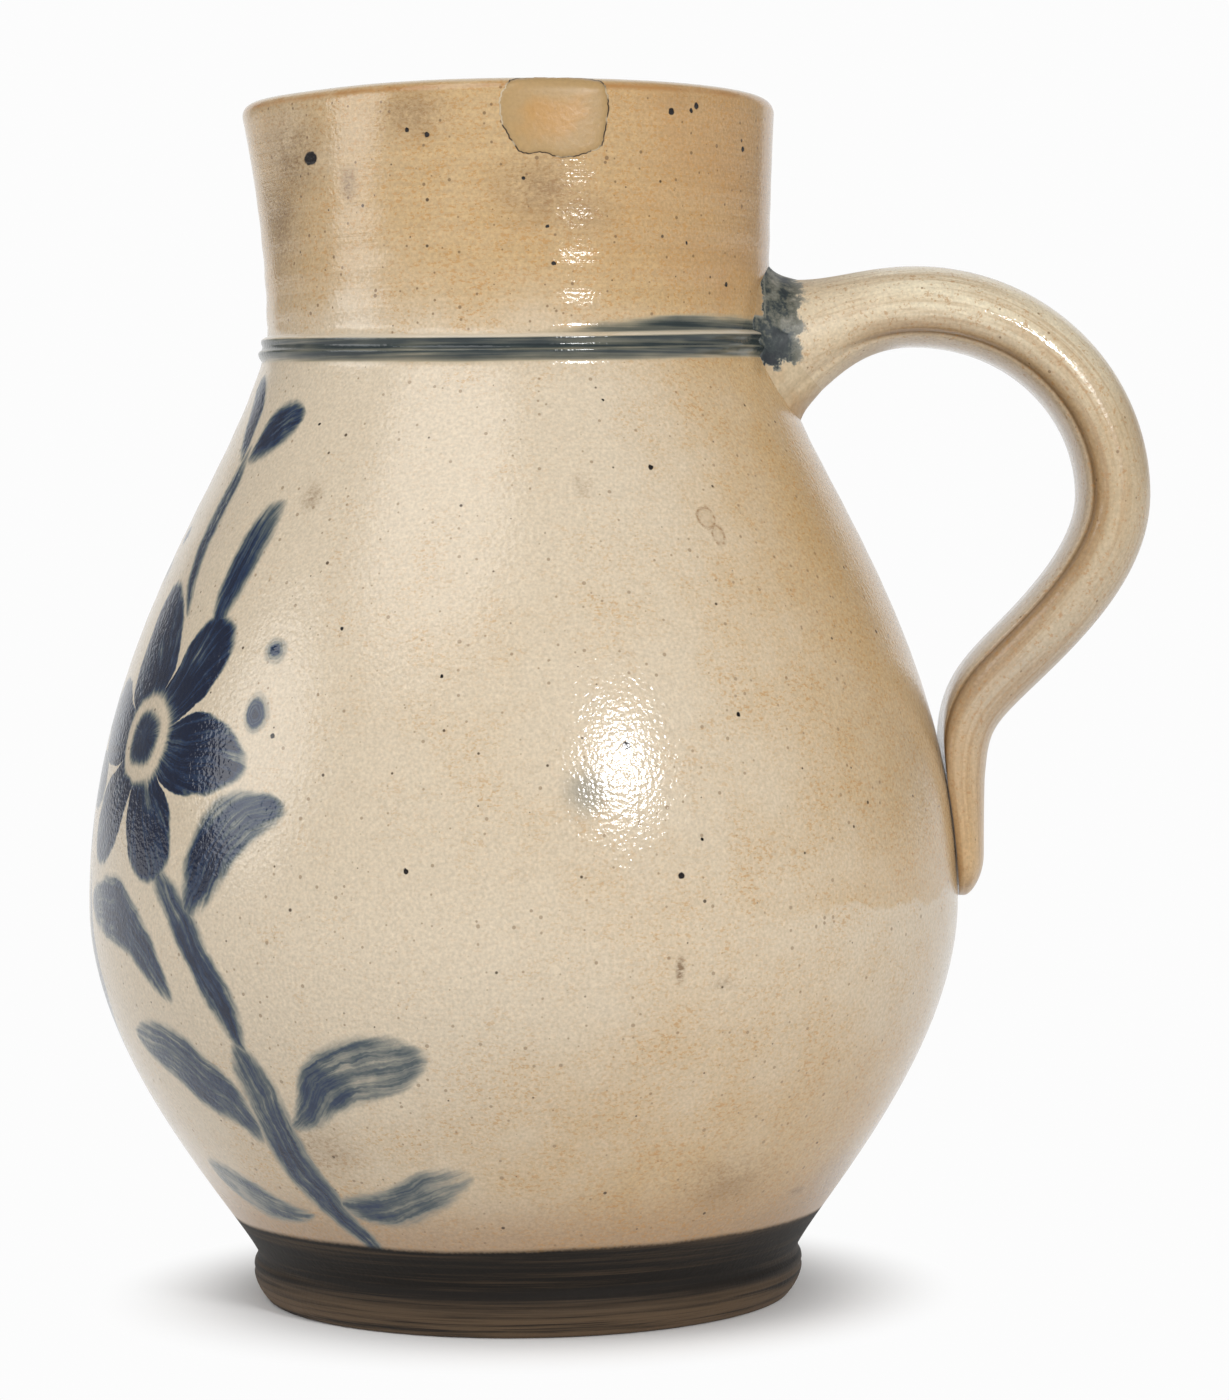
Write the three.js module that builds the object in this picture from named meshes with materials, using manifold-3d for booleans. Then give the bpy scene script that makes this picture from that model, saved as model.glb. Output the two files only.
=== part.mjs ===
// Salt-glazed stoneware pitcher of about one gallon: a wheel-thrown ovoid body with a pinched pouring
// lip, a pulled strap handle bedded in clay slip at the collar and at the belly, and an old rim chip
// made good with a plaster fill.
// Millimetres, +Z up. The origin is the middle of the foot's flat underside, on the wheel's axis.
// The handle stands on the +X side and the pouring lip on the -X side.
import * as THREE from 'three';
import { mergeVertices } from 'three/addons/utils/BufferGeometryUtils.js';
import Module from 'manifold-3d';

// Foot: a turned roll with a groove above it
const FOOT_HEIGHT = 10;
const FOOT_FLAT_RADIUS = 57.5;
const FOOT_ROLL_RADIUS = 60.2;
const WAIST_RADIUS = 59.3;

// Belly and shoulder: two curves that meet upright at the widest point
const BELLY_RISE = 76;
const BELLY_RADIUS = 95;
const WAIST_LIFT = 10;
const WAIST_SPLAY = 4.7;
const BELLY_ROUND_BELOW = 33;
const BELLY_ROUND_ABOVE = 55;
const SHOULDER_RISE = 117.2;
const SHOULDER_LIFT = 24;
const SHOULDER_SPLAY = 8.7;

// Collar: two tooled beads on a small step, a little lower at the front and back than at the sides
const BEAD_COUNT = 2;
const BEAD_HEIGHT = 2.7;
const BEAD_STAND = 1.1;
const COLLAR_STEP = 1.2;
const BEAD_SAG = 1;

// Neck and lip
const NECK_HEIGHT = 51.4;
const NECK_RADIUS = 54.9;
const LIP_FLARE = 1.3;
const LIP_THICKNESS = 6;
const LIP_ROUNDING = 3;

// Pouring lip, pulled out of the neck
const SPOUT_PULL = 3.8;
const SPOUT_PINCH = 0.8;
const SPOUT_HALF_ANGLE = THREE.MathUtils.degToRad(44);
const SPOUT_ROOT_HALF_ANGLE = THREE.MathUtils.degToRad(14);

// Wall of the thrown body
const WALL = 6.5;
const FLOOR = 9.5;
const FLOOR_CURVE = 14.8;

// Handle's middle line, from the collar to the belly's widest point
const ROOT_SINK = 5.2;
const ROOT_RISE = 3.5;
const ROOT_RUN = 12;
const CREST_OUT = 31.3;
const CREST_RISE = 11.8;
const CREST_ROUND_IN = 15;
const CREST_ROUND_OUT = 25;
const REACH_PAST_BELLY = 34.9;
const REACH_DROP = 29.5;
const REACH_ROUND_UP = 22;
const REACH_ROUND_DOWN = 18.5;
const ELBOW_RISE = 41;
const ELBOW_STAND = 6.9;
const ELBOW_RUN_OUT = 11.5;
const ELBOW_RUN_UP = 12;
const TAIL_BEND_IN = 4;
const TAIL_BEND_DOWN = 6;
const TAIL_RUN = 17;
const TAIL_STAND = 1.5;

// Handle's section along that line
const CREST_WIDTH = 32;
const REACH_WIDTH = 30;
const ELBOW_WIDTH = 28;
const TAIL_WIDTH = 29;
const CREST_THICKNESS = 17.6;
const REACH_THICKNESS = 15.8;
const ELBOW_THICKNESS = 15;
const TAIL_THICKNESS = 8.5;
const ROOT_FLARE_THICK = 28;
const ROOT_FLARE_WIDE = 9;
const TAIL_ROUNDING = 9;
const CREASE_DEPTH = 0.7;
const CREASE_SHARE = 0.8;
const CREASE_SPREAD = 0.14;
const EDGE_ROUNDNESS = 0.9;
const FACE_ROUNDNESS = 0.95;

// Luting slip between handle and body
const SLIP_THICKNESS = 1;
const SLIP_FILLET = 2.6;
const SLIP_EDGE = 0.6;
const SLIP_REACH = 7;

// Chip in the rim and its fill
const CHIP_ANGLE = THREE.MathUtils.degToRad(9.5);
const CHIP_WIDTH = 22.8;
const CHIP_HEIGHT = 17.2;
const CHIP_DEPTH_TOP = 4;
const CHIP_DEPTH_BOTTOM = 2.2;
const FILL_STAND = 0.4;

// Clearance left between pieces that are bedded on each other
const SEAT_GAP = 0.3;

// Facets
const TURN_FACETS = 64;
const FOOT_STEPS = 5;
const BELLY_STEPS = 9;
const SHOULDER_STEPS = 11;
const BEAD_STEPS = 4;
const NECK_STEPS = 4;
const LIP_STEPS = 3;
const HOLLOW_STEPS = 8;
const STRAP_STATIONS = 40;
const TAIL_STATIONS = 5;
const SLIP_STATIONS = 9;
const STRAP_SIDES = 24;
const CHIP_STEPS = 2;
const MERGE_TOLERANCE = 1e-4;

const BELLY_HEIGHT = FOOT_HEIGHT + BELLY_RISE;
const COLLAR_HEIGHT = BELLY_HEIGHT + SHOULDER_RISE;
const NECK_FOOT = COLLAR_HEIGHT + BEAD_COUNT * BEAD_HEIGHT;
const HEIGHT = NECK_FOOT + NECK_HEIGHT;
const RIM_RADIUS = NECK_RADIUS + LIP_FLARE;

const wasm = await Module();
wasm.setup();

const { clamp, lerp, smoothstep } = THREE.MathUtils;
const vec2 = (x, y) => new THREE.Vector2(x, y);

// Points along a cubic curve between two ends with their control points.
function cubicPoints(steps, start, control1, control2, end) {
  return new THREE.CubicBezierCurve(start, control1, control2, end).getPoints(steps);
}

// Closed mesh to solid, with coincident vertices merged and collapsed triangles dropped.
function solidOf(geometry) {
  geometry.deleteAttribute('normal');
  geometry.deleteAttribute('uv');
  const merged = mergeVertices(geometry, MERGE_TOLERANCE);
  const corners = merged.index.array;
  const triVerts = [];
  for (let i = 0; i < corners.length; i += 3) {
    const [a, b, c] = corners.slice(i, i + 3);
    if (a !== b && b !== c && c !== a) triVerts.push(a, b, c);
  }
  return new wasm.Manifold(new wasm.Mesh({
    numProp: 3,
    vertProperties: new Float32Array(merged.attributes.position.array),
    triVerts: new Uint32Array(triVerts),
  }));
}

function geometryOf(solid) {
  const { vertProperties, triVerts } = solid.getMesh();
  const geometry = new THREE.BufferGeometry();
  geometry.setAttribute('position', new THREE.BufferAttribute(vertProperties, 3));
  geometry.setIndex(new THREE.BufferAttribute(triVerts, 1));
  geometry.computeVertexNormals();
  return geometry;
}

// Outside of the body from the foot's edge to the collar, moved outwards by stand.
function bellyOutside(stand) {
  const foot = new THREE.SplineCurve([
    vec2(FOOT_FLAT_RADIUS, 0),
    vec2(FOOT_ROLL_RADIUS, FOOT_HEIGHT / 2),
    vec2(WAIST_RADIUS, FOOT_HEIGHT),
  ]).getPoints(FOOT_STEPS);
  const belly = cubicPoints(
    BELLY_STEPS,
    vec2(WAIST_RADIUS, FOOT_HEIGHT),
    vec2(WAIST_RADIUS + WAIST_SPLAY, FOOT_HEIGHT + WAIST_LIFT),
    vec2(BELLY_RADIUS, BELLY_HEIGHT - BELLY_ROUND_BELOW),
    vec2(BELLY_RADIUS, BELLY_HEIGHT),
  );
  const shoulder = cubicPoints(
    SHOULDER_STEPS,
    vec2(BELLY_RADIUS, BELLY_HEIGHT),
    vec2(BELLY_RADIUS, BELLY_HEIGHT + BELLY_ROUND_ABOVE),
    vec2(NECK_RADIUS + SHOULDER_SPLAY, COLLAR_HEIGHT - SHOULDER_LIFT),
    vec2(NECK_RADIUS + COLLAR_STEP, COLLAR_HEIGHT),
  );
  return [...foot, ...belly.slice(1), ...shoulder.slice(1)].map((p) => vec2(p.x + stand, p.y));
}

// One quarter of the lip's rounding, from the given angle on.
function lipQuarter(start) {
  return new THREE.EllipseCurve(
    RIM_RADIUS - LIP_THICKNESS / 2, HEIGHT - LIP_ROUNDING,
    LIP_THICKNESS / 2, LIP_ROUNDING,
    start, start + Math.PI / 2,
  ).getPoints(LIP_STEPS);
}

// Outside of the collar, neck and lip, moved outwards by stand, up to the top of the lip.
function neckOutside(stand) {
  const points = [];
  for (let step = 1; step <= BEAD_COUNT * BEAD_STEPS; step += 1) {
    const swell = Math.abs(Math.sin((step * Math.PI) / BEAD_STEPS));
    const base = lerp(NECK_RADIUS + COLLAR_STEP, NECK_RADIUS, step / (BEAD_COUNT * BEAD_STEPS));
    points.push(vec2(base + BEAD_STAND * swell, COLLAR_HEIGHT + (step * BEAD_HEIGHT) / BEAD_STEPS));
  }
  const flare = new THREE.QuadraticBezierCurve(
    vec2(NECK_RADIUS, NECK_FOOT),
    vec2(NECK_RADIUS, (NECK_FOOT + HEIGHT) / 2),
    vec2(RIM_RADIUS, HEIGHT - LIP_ROUNDING),
  ).getPoints(NECK_STEPS);
  points.push(...flare.slice(1), ...lipQuarter(0).slice(1));
  return points.map((p) => vec2(p.x + stand, p.y));
}

// Inside of the body from the inner edge of the lip down to the axis.
function hollow() {
  const neck = new THREE.QuadraticBezierCurve(
    vec2(RIM_RADIUS - LIP_THICKNESS, HEIGHT - LIP_ROUNDING),
    vec2(NECK_RADIUS - WALL, (NECK_FOOT + HEIGHT) / 2),
    vec2(NECK_RADIUS - WALL, NECK_FOOT),
  ).getPoints(NECK_STEPS);
  const shoulder = cubicPoints(
    HOLLOW_STEPS,
    vec2(NECK_RADIUS - WALL, COLLAR_HEIGHT),
    vec2(NECK_RADIUS - WALL + SHOULDER_SPLAY, COLLAR_HEIGHT - SHOULDER_LIFT),
    vec2(BELLY_RADIUS - WALL, BELLY_HEIGHT + BELLY_ROUND_ABOVE),
    vec2(BELLY_RADIUS - WALL, BELLY_HEIGHT),
  );
  const floorRadius = WAIST_RADIUS - WALL;
  const belly = cubicPoints(
    HOLLOW_STEPS,
    vec2(BELLY_RADIUS - WALL, BELLY_HEIGHT),
    vec2(BELLY_RADIUS - WALL, BELLY_HEIGHT - BELLY_ROUND_BELOW),
    vec2(floorRadius, FLOOR),
    vec2(floorRadius - FLOOR_CURVE, FLOOR),
  );
  const lip = lipQuarter(Math.PI / 2);
  return [...lip.slice(1), ...neck.slice(1), ...shoulder, ...belly.slice(1), vec2(0, FLOOR)];
}

// How far the potter's pull moves the neck outwards at a given angle from the pouring lip.
function spoutPull(angle, z) {
  const rise = clamp((z - NECK_FOOT) / NECK_HEIGHT, 0, 1);
  const across = angle / lerp(SPOUT_ROOT_HALF_ANGLE, SPOUT_HALF_ANGLE, rise);
  const crest = across < 1 ? Math.cos((across * Math.PI) / 2) ** 2 : 0;
  const pinch = across < 2 ? Math.sin((across * Math.PI) / 2) ** 4 : 0;
  return rise ** 2 * (SPOUT_PULL * crest - SPOUT_PINCH * pinch);
}

// How far the beads stray from level: up at the sides, down at the front and back.
function beadSag(point) {
  const turn = Math.atan2(point.y, point.x);
  const reach = clamp(1 - Math.abs(point.z - (COLLAR_HEIGHT + NECK_FOOT) / 2) / (NECK_HEIGHT / 2), 0, 1);
  return BEAD_SAG * smoothstep(reach, 0, 1) * Math.cos(2 * turn);
}

// Solid of revolution about +Z with the marks of the potter's hands.
function thrown(profile) {
  const geometry = new THREE.LatheGeometry(profile, TURN_FACETS);
  geometry.rotateX(Math.PI / 2);
  const position = geometry.attributes.position;
  const point = new THREE.Vector3();
  for (let i = 0; i < position.count; i += 1) {
    point.fromBufferAttribute(position, i);
    const radius = Math.hypot(point.x, point.y);
    if (radius > FOOT_HEIGHT) {
      const angle = Math.abs(Math.atan2(point.y, -point.x));
      const grown = 1 + spoutPull(angle, point.z) / radius;
      const lifted = point.z + beadSag(point);
      position.setXYZ(i, point.x * grown, point.y * grown, lifted);
    }
  }
  return solidOf(geometry);
}

// The pot with its hollow, and the same outline filled solid, both with the outside moved by stand.
function pot(stand) {
  return thrown([vec2(0, 0), ...bellyOutside(stand), ...neckOutside(stand), ...hollow()]);
}

function blank(stand) {
  return thrown([vec2(0, 0), ...bellyOutside(stand), ...neckOutside(stand), vec2(0, HEIGHT)]);
}

// Radius of the body's outside at a height below the collar.
function bellyRadiusAt(z) {
  const points = bellyOutside(0);
  const above = points.findIndex((p) => p.y >= z);
  const [low, high] = [points[above - 1], points[above]];
  return lerp(low.x, high.x, (z - low.y) / (high.y - low.y));
}

// Handle's middle line in the XZ plane: root, crest, furthest reach, elbow, end of the tail.
const strapLine = new THREE.CurvePath();
{
  const root = vec2(NECK_RADIUS - ROOT_SINK, COLLAR_HEIGHT + ROOT_RISE);
  const crest = vec2(NECK_RADIUS + CREST_OUT, COLLAR_HEIGHT + CREST_RISE);
  const reach = vec2(BELLY_RADIUS + REACH_PAST_BELLY, COLLAR_HEIGHT - REACH_DROP);
  const elbowHeight = BELLY_HEIGHT + ELBOW_RISE;
  const elbow = vec2(bellyRadiusAt(elbowHeight) + ELBOW_STAND, elbowHeight);
  const tail = vec2(BELLY_RADIUS + TAIL_STAND, BELLY_HEIGHT);
  strapLine.add(new THREE.CubicBezierCurve(
    root, vec2(root.x + ROOT_RUN, root.y), vec2(crest.x - CREST_ROUND_IN, crest.y), crest,
  ));
  strapLine.add(new THREE.CubicBezierCurve(
    crest, vec2(crest.x + CREST_ROUND_OUT, crest.y), vec2(reach.x, reach.y + REACH_ROUND_UP), reach,
  ));
  strapLine.add(new THREE.CubicBezierCurve(
    reach, vec2(reach.x, reach.y - REACH_ROUND_DOWN),
    vec2(elbow.x + ELBOW_RUN_OUT, elbow.y + ELBOW_RUN_UP), elbow,
  ));
  strapLine.add(new THREE.CubicBezierCurve(
    elbow, vec2(elbow.x - TAIL_BEND_IN, elbow.y - TAIL_BEND_DOWN), vec2(tail.x, tail.y + TAIL_RUN), tail,
  ));
}
const strapMarks = strapLine.getCurveLengths();
const strapLength = strapMarks.at(-1);

// Value at a run along the handle, eased between its values at the root, crest, reach, elbow and tail.
function alongStrap(run, values) {
  const leg = Math.max(0, strapMarks.findIndex((mark) => run <= mark));
  const start = leg ? strapMarks[leg - 1] : 0;
  return lerp(values[leg], values[leg + 1], smoothstep(run, start, strapMarks[leg]));
}

// Half width and half thickness of the handle at a run along it.
function strapHalfSizes(run) {
  const width = alongStrap(run, [CREST_WIDTH, CREST_WIDTH, REACH_WIDTH, ELBOW_WIDTH, TAIL_WIDTH]);
  const thickness = alongStrap(
    run, [CREST_THICKNESS, CREST_THICKNESS, REACH_THICKNESS, ELBOW_THICKNESS, TAIL_THICKNESS],
  );
  const toRoot = clamp(1 - run / strapMarks[0], 0, 1) ** 3;
  const pastRound = clamp((run - strapLength + TAIL_ROUNDING) / TAIL_ROUNDING, 0, 1);
  const round = Math.sqrt(1 - pastRound ** 2);
  return [
    ((width + ROOT_FLARE_WIDE * toRoot) / 2) * round,
    ((thickness + ROOT_FLARE_THICK * toRoot) / 2) * (1 + round) / 2,
  ];
}

// Pulled section: crowned outside, fuller inside, with a crease along each inner edge.
function strapSection(turn, halfWidth, halfThickness) {
  const across = Math.sign(Math.cos(turn)) * Math.abs(Math.cos(turn)) ** EDGE_ROUNDNESS;
  const out = Math.sign(Math.sin(turn)) * Math.abs(Math.sin(turn)) ** FACE_ROUNDNESS;
  const fromCrease = (Math.abs(across) - CREASE_SHARE) / CREASE_SPREAD;
  const crease = out < 0 ? CREASE_DEPTH * Math.exp(-(fromCrease ** 2)) : 0;
  return vec2(across * halfWidth, out * halfThickness + crease);
}

// Runs at even steps, and closer together round the end of the tail where the strap runs to it.
function strapRuns(from, to, stations) {
  const evenEnd = Math.min(to, strapLength - TAIL_ROUNDING);
  const runs = [];
  for (let i = 0; i <= stations; i += 1) runs.push(lerp(from, evenEnd, i / stations));
  for (let i = 1; i <= TAIL_STATIONS && to > evenEnd; i += 1) {
    const turn = (i / (TAIL_STATIONS + 0.5)) * (Math.PI / 2);
    runs.push(evenEnd + TAIL_ROUNDING * Math.sin(turn));
  }
  return runs;
}

// Loft of the strap's sections at the given runs, each grown by the amount that grow gives.
function strap(runs, grow) {
  const positions = [];
  const triangles = [];
  const middles = [];
  for (const run of runs) {
    const middle = strapLine.getPointAt(run / strapLength);
    const ahead = strapLine.getTangentAt(run / strapLength);
    const [halfWidth, halfThickness] = strapHalfSizes(run);
    const extra = grow(run);
    for (let side = 0; side < STRAP_SIDES; side += 1) {
      const turn = (2 * Math.PI * side) / STRAP_SIDES;
      const at = strapSection(turn, halfWidth + extra, halfThickness + extra);
      positions.push(middle.x - ahead.y * at.y, at.x, middle.y + ahead.x * at.y);
    }
    middles.push(middle);
  }
  const lastRing = (runs.length - 1) * STRAP_SIDES;
  const startCap = runs.length * STRAP_SIDES;
  const endCap = startCap + 1;
  for (const middle of [middles[0], middles.at(-1)]) positions.push(middle.x, 0, middle.y);
  for (let side = 0; side < STRAP_SIDES; side += 1) {
    const next = (side + 1) % STRAP_SIDES;
    for (let ring = 0; ring < lastRing; ring += STRAP_SIDES) {
      const above = ring + STRAP_SIDES;
      triangles.push(ring + side, ring + next, above + side, ring + next, above + next, above + side);
    }
    triangles.push(startCap, next, side, endCap, lastRing + side, lastRing + next);
  }
  const geometry = new THREE.BufferGeometry();
  geometry.setAttribute('position', new THREE.Float32BufferAttribute(positions, 3));
  geometry.setIndex(triangles);
  return solidOf(geometry);
}

// Handle: the pulled strap, cut back at both ends to the beds of slip on the body.
const bedTop = SEAT_GAP + SLIP_THICKNESS;
const handle = strap(strapRuns(0, strapLength, STRAP_STATIONS), () => 0)
  .subtract(blank(bedTop + SEAT_GAP));

// Upper luting slip: a bed under the root, with a thumbed fillet round it that thins out along the strap.
function filletGrow(run) {
  const thinned = Math.sqrt(clamp((run - ROOT_SINK) / SLIP_REACH, 0, 1));
  return SEAT_GAP + lerp(SLIP_FILLET, SLIP_EDGE, thinned);
}
const filletEnd = ROOT_SINK + SLIP_REACH;
const rootRoom = strap(strapRuns(0, filletEnd + ROOT_SINK, SLIP_STATIONS), () => SEAT_GAP)
  .subtract(blank(bedTop));
const upperSlip = strap(strapRuns(0, filletEnd, SLIP_STATIONS), filletGrow)
  .subtract(blank(SEAT_GAP))
  .subtract(rootRoom);

// Lower luting slip: the bed that the flattened tail is pressed into.
const lowerSlip = strap(strapRuns(strapMarks[2], strapLength, SLIP_STATIONS), () => 0)
  .intersect(blank(bedTop))
  .subtract(blank(SEAT_GAP));

// Outline of the chip as seen from outside, in shares of its width and height from the top of the rim.
const CHIP_SHARES = [
  [-0.38, 0.1], [-0.47, -0.2], [-0.5, -0.38], [-0.45, -0.66], [-0.31, -0.93], [-0.1, -0.94],
  [0.06, -1], [0.28, -0.94], [0.42, -0.84], [0.48, -0.48], [0.47, -0.18], [0.4, 0.1],
];

// Prism on the chip's sloping floor, drawn in by inset on every side that meets the body.
function chipPrism(inset) {
  const width = CHIP_WIDTH - 2 * inset;
  const depth = CHIP_HEIGHT - inset;
  const [first, ...rest] = CHIP_SHARES.map(([x, y]) => vec2(x * width, y * depth));
  const outline = new THREE.Shape().moveTo(first.x, first.y).splineThru(rest);
  const geometry = new THREE.ExtrudeGeometry(outline, {
    depth: CHIP_DEPTH_TOP + LIP_THICKNESS, bevelEnabled: false, curveSegments: CHIP_STEPS,
  });
  geometry.translate(0, 0, inset);
  geometry.rotateX(Math.PI / 2 - Math.atan((CHIP_DEPTH_TOP - CHIP_DEPTH_BOTTOM) / CHIP_HEIGHT));
  geometry.translate(0, CHIP_DEPTH_TOP - RIM_RADIUS, HEIGHT);
  geometry.rotateZ(CHIP_ANGLE);
  return solidOf(geometry);
}

const body = pot(0).subtract(chipPrism(0));
const rimFill = chipPrism(SEAT_GAP).intersect(pot(FILL_STAND));

const saltGlaze = new THREE.MeshStandardMaterial({ color: 0xcdb894, roughness: 0.35, metalness: 0 });
const saltGlazeHandle = new THREE.MeshStandardMaterial({ color: 0xc4a97f, roughness: 0.35, metalness: 0 });
const cobaltSlip = new THREE.MeshStandardMaterial({ color: 0x454d5c, roughness: 0.4, metalness: 0 });
const claySlip = new THREE.MeshStandardMaterial({ color: 0x9c7a52, roughness: 0.6, metalness: 0 });
const plaster = new THREE.MeshStandardMaterial({ color: 0xdcc8a0, roughness: 0.5, metalness: 0 });

const pitcher = new THREE.Group();
const pieces = [
  ['body', body, saltGlaze],
  ['handle', handle, saltGlazeHandle],
  ['upper_luting_slip', upperSlip, cobaltSlip],
  ['lower_luting_slip', lowerSlip, claySlip],
  ['rim_fill', rimFill, plaster],
];
for (const [name, solid, material] of pieces) {
  const mesh = new THREE.Mesh(geometryOf(solid), material);
  mesh.name = name;
  pitcher.add(mesh);
}

export default pitcher;
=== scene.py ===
# Salt-glazed stoneware pitcher of about one gallon: a thrown ovoid body with a pinched pouring lip, a
# pulled strap handle luted on with slip, and an old rim chip made good with plaster. Metres, +Z up, in
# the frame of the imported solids: handle towards +X, pouring lip towards -X, front towards -Y.
import math

import bmesh
import bpy
from mathutils import Matrix, Vector


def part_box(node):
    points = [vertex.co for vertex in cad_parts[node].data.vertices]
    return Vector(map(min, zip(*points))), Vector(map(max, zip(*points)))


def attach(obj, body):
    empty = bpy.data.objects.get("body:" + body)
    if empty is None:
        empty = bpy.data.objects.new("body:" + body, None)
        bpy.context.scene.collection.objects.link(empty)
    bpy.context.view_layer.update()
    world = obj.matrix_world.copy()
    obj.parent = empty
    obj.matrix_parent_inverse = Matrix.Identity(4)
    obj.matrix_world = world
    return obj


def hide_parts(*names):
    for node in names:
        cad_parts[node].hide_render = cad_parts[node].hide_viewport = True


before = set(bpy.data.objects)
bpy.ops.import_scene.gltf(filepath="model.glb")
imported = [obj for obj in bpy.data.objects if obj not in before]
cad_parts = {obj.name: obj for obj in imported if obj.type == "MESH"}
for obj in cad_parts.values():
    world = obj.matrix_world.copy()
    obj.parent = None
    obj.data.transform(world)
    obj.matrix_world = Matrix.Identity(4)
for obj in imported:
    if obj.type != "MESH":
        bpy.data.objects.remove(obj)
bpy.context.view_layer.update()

# Body: the vessel, thrown in one piece from stoneware clay. Foot, belly and shoulder are one sweep of the
# potter's rib, the collar has two tooled beads, and the pouring lip is pulled out of the soft neck.
_, body_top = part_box("body")
HEIGHT = body_top.z
BELLY_RADIUS = body_top.y
FOOT_HEIGHT = 0.010
FOOT_FLAT_RADIUS = 0.0575
FOOT_SWELL_RADIUS = 0.062
FOOT_GROOVES = (0.0062, 0.0089)
FOOT_GROOVE_DEPTH = 0.00035
FOOT_GROOVE_SPREAD = 0.0005
WAIST_RADIUS = 0.0593
WAIST_LIFT = 0.010
WAIST_SPLAY = 0.0047
BELLY_HEIGHT = 0.086
BELLY_ROUND_BELOW = 0.033
BELLY_ROUND_ABOVE = 0.055
COLLAR_HEIGHT = 0.2032
SHOULDER_LIFT = 0.024
SHOULDER_SPLAY = 0.0087
COLLAR_STEP = 0.0012
BEAD_COUNT = 2
BEAD_HEIGHT = 0.0027
BEAD_STAND = 0.0011
BEAD_CREST = 0.72
BEAD_GROOVE = 0.45
BEAD_SAG = 0.001
NECK_FOOT = COLLAR_HEIGHT + BEAD_COUNT * BEAD_HEIGHT
NECK_HEIGHT = HEIGHT - NECK_FOOT
NECK_RADIUS = 0.0549
RIM_RADIUS = 0.0562
LIP_ROUNDING = 0.003
SPOUT_PULL = 0.0038
SPOUT_PINCH = 0.0008
SPOUT_HALF_ANGLE = math.radians(44)
SPOUT_ROOT_HALF_ANGLE = math.radians(14)
WALL = 0.0065
FLOOR = 0.0095
FLOOR_CURVE = 0.0148
THROWING_RIDGE = 0.00010
NECK_RIDGE = 0.00024
THROWING_PITCH = 0.0081
THROWING_START = math.radians(223)
TURN_STEPS = 240
FOOT_STEPS = 24
BELLY_STEPS = 34
SHOULDER_STEPS = 46
BEAD_STEPS = 10
NECK_STEPS = 26
LIP_STEPS = 9
HOLLOW_STEPS = 24
SAME_POINT = 1e-6
STILL_RADIUS = 0.010


def bend_points(steps, *controls):
    """Points along a curve from the first control to the last, pulled towards those between."""
    points = []
    for step in range(steps + 1):
        level = [Vector(control) for control in controls]
        while len(level) > 1:
            level = [low.lerp(high, step / steps) for low, high in zip(level, level[1:])]
        points.append(level[0])
    return points


def ease(value, low, high):
    """0 below low, 1 above high, and a smooth rise between them."""
    share = min(max((value - low) / (high - low), 0), 1)
    return share * share * (3 - 2 * share)


def bead_profile():
    """Two beads whose crests stand near their upper edges, as the tool left them."""
    points = []
    for step in range(1, BEAD_COUNT * BEAD_STEPS + 1):
        share = (step / BEAD_STEPS) % 1
        if share < BEAD_CREST:
            swell = math.sin(share / BEAD_CREST * math.pi / 2)
        else:
            swell = math.cos((share - BEAD_CREST) / (1 - BEAD_CREST) * math.pi / 2)
        if BEAD_CREST * BEAD_STEPS < step < (BEAD_COUNT - 1 + BEAD_CREST) * BEAD_STEPS:
            swell = max(swell, BEAD_GROOVE)
        height = COLLAR_HEIGHT + step * BEAD_HEIGHT / BEAD_STEPS
        base = NECK_RADIUS + COLLAR_STEP * (1 - step / (BEAD_COUNT * BEAD_STEPS))
        points.append(Vector((base + BEAD_STAND * swell, height)))
    return points


def lip_quarter(start):
    """A quarter of the lip's rounding, from an angle on."""
    points = []
    for step in range(1, LIP_STEPS + 1):
        angle = start + step / LIP_STEPS * math.pi / 2
        across = RIM_RADIUS - LIP_ROUNDING + LIP_ROUNDING * math.cos(angle)
        points.append(Vector((across, HEIGHT - LIP_ROUNDING + LIP_ROUNDING * math.sin(angle))))
    return points


outside = bend_points(
    FOOT_STEPS, (FOOT_FLAT_RADIUS, 0), (FOOT_SWELL_RADIUS, FOOT_HEIGHT / 2), (WAIST_RADIUS, FOOT_HEIGHT)
)
outside += bend_points(
    BELLY_STEPS,
    (WAIST_RADIUS, FOOT_HEIGHT),
    (WAIST_RADIUS + WAIST_SPLAY, FOOT_HEIGHT + WAIST_LIFT),
    (BELLY_RADIUS, BELLY_HEIGHT - BELLY_ROUND_BELOW),
    (BELLY_RADIUS, BELLY_HEIGHT),
)[1:]
outside += bend_points(
    SHOULDER_STEPS,
    (BELLY_RADIUS, BELLY_HEIGHT),
    (BELLY_RADIUS, BELLY_HEIGHT + BELLY_ROUND_ABOVE),
    (NECK_RADIUS + SHOULDER_SPLAY, COLLAR_HEIGHT - SHOULDER_LIFT),
    (NECK_RADIUS + COLLAR_STEP, COLLAR_HEIGHT),
)[1:]
outside += bead_profile()
outside += bend_points(
    NECK_STEPS,
    (NECK_RADIUS, NECK_FOOT),
    (NECK_RADIUS, NECK_FOOT + NECK_HEIGHT / 2),
    (RIM_RADIUS, HEIGHT - LIP_ROUNDING),
)[1:]
outside += lip_quarter(0)
inside = lip_quarter(math.pi / 2)
inside += bend_points(
    HOLLOW_STEPS,
    (RIM_RADIUS - 2 * LIP_ROUNDING, HEIGHT - LIP_ROUNDING),
    (NECK_RADIUS - WALL, NECK_FOOT + NECK_HEIGHT / 2),
    (NECK_RADIUS - WALL, NECK_FOOT),
)[1:]
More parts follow.
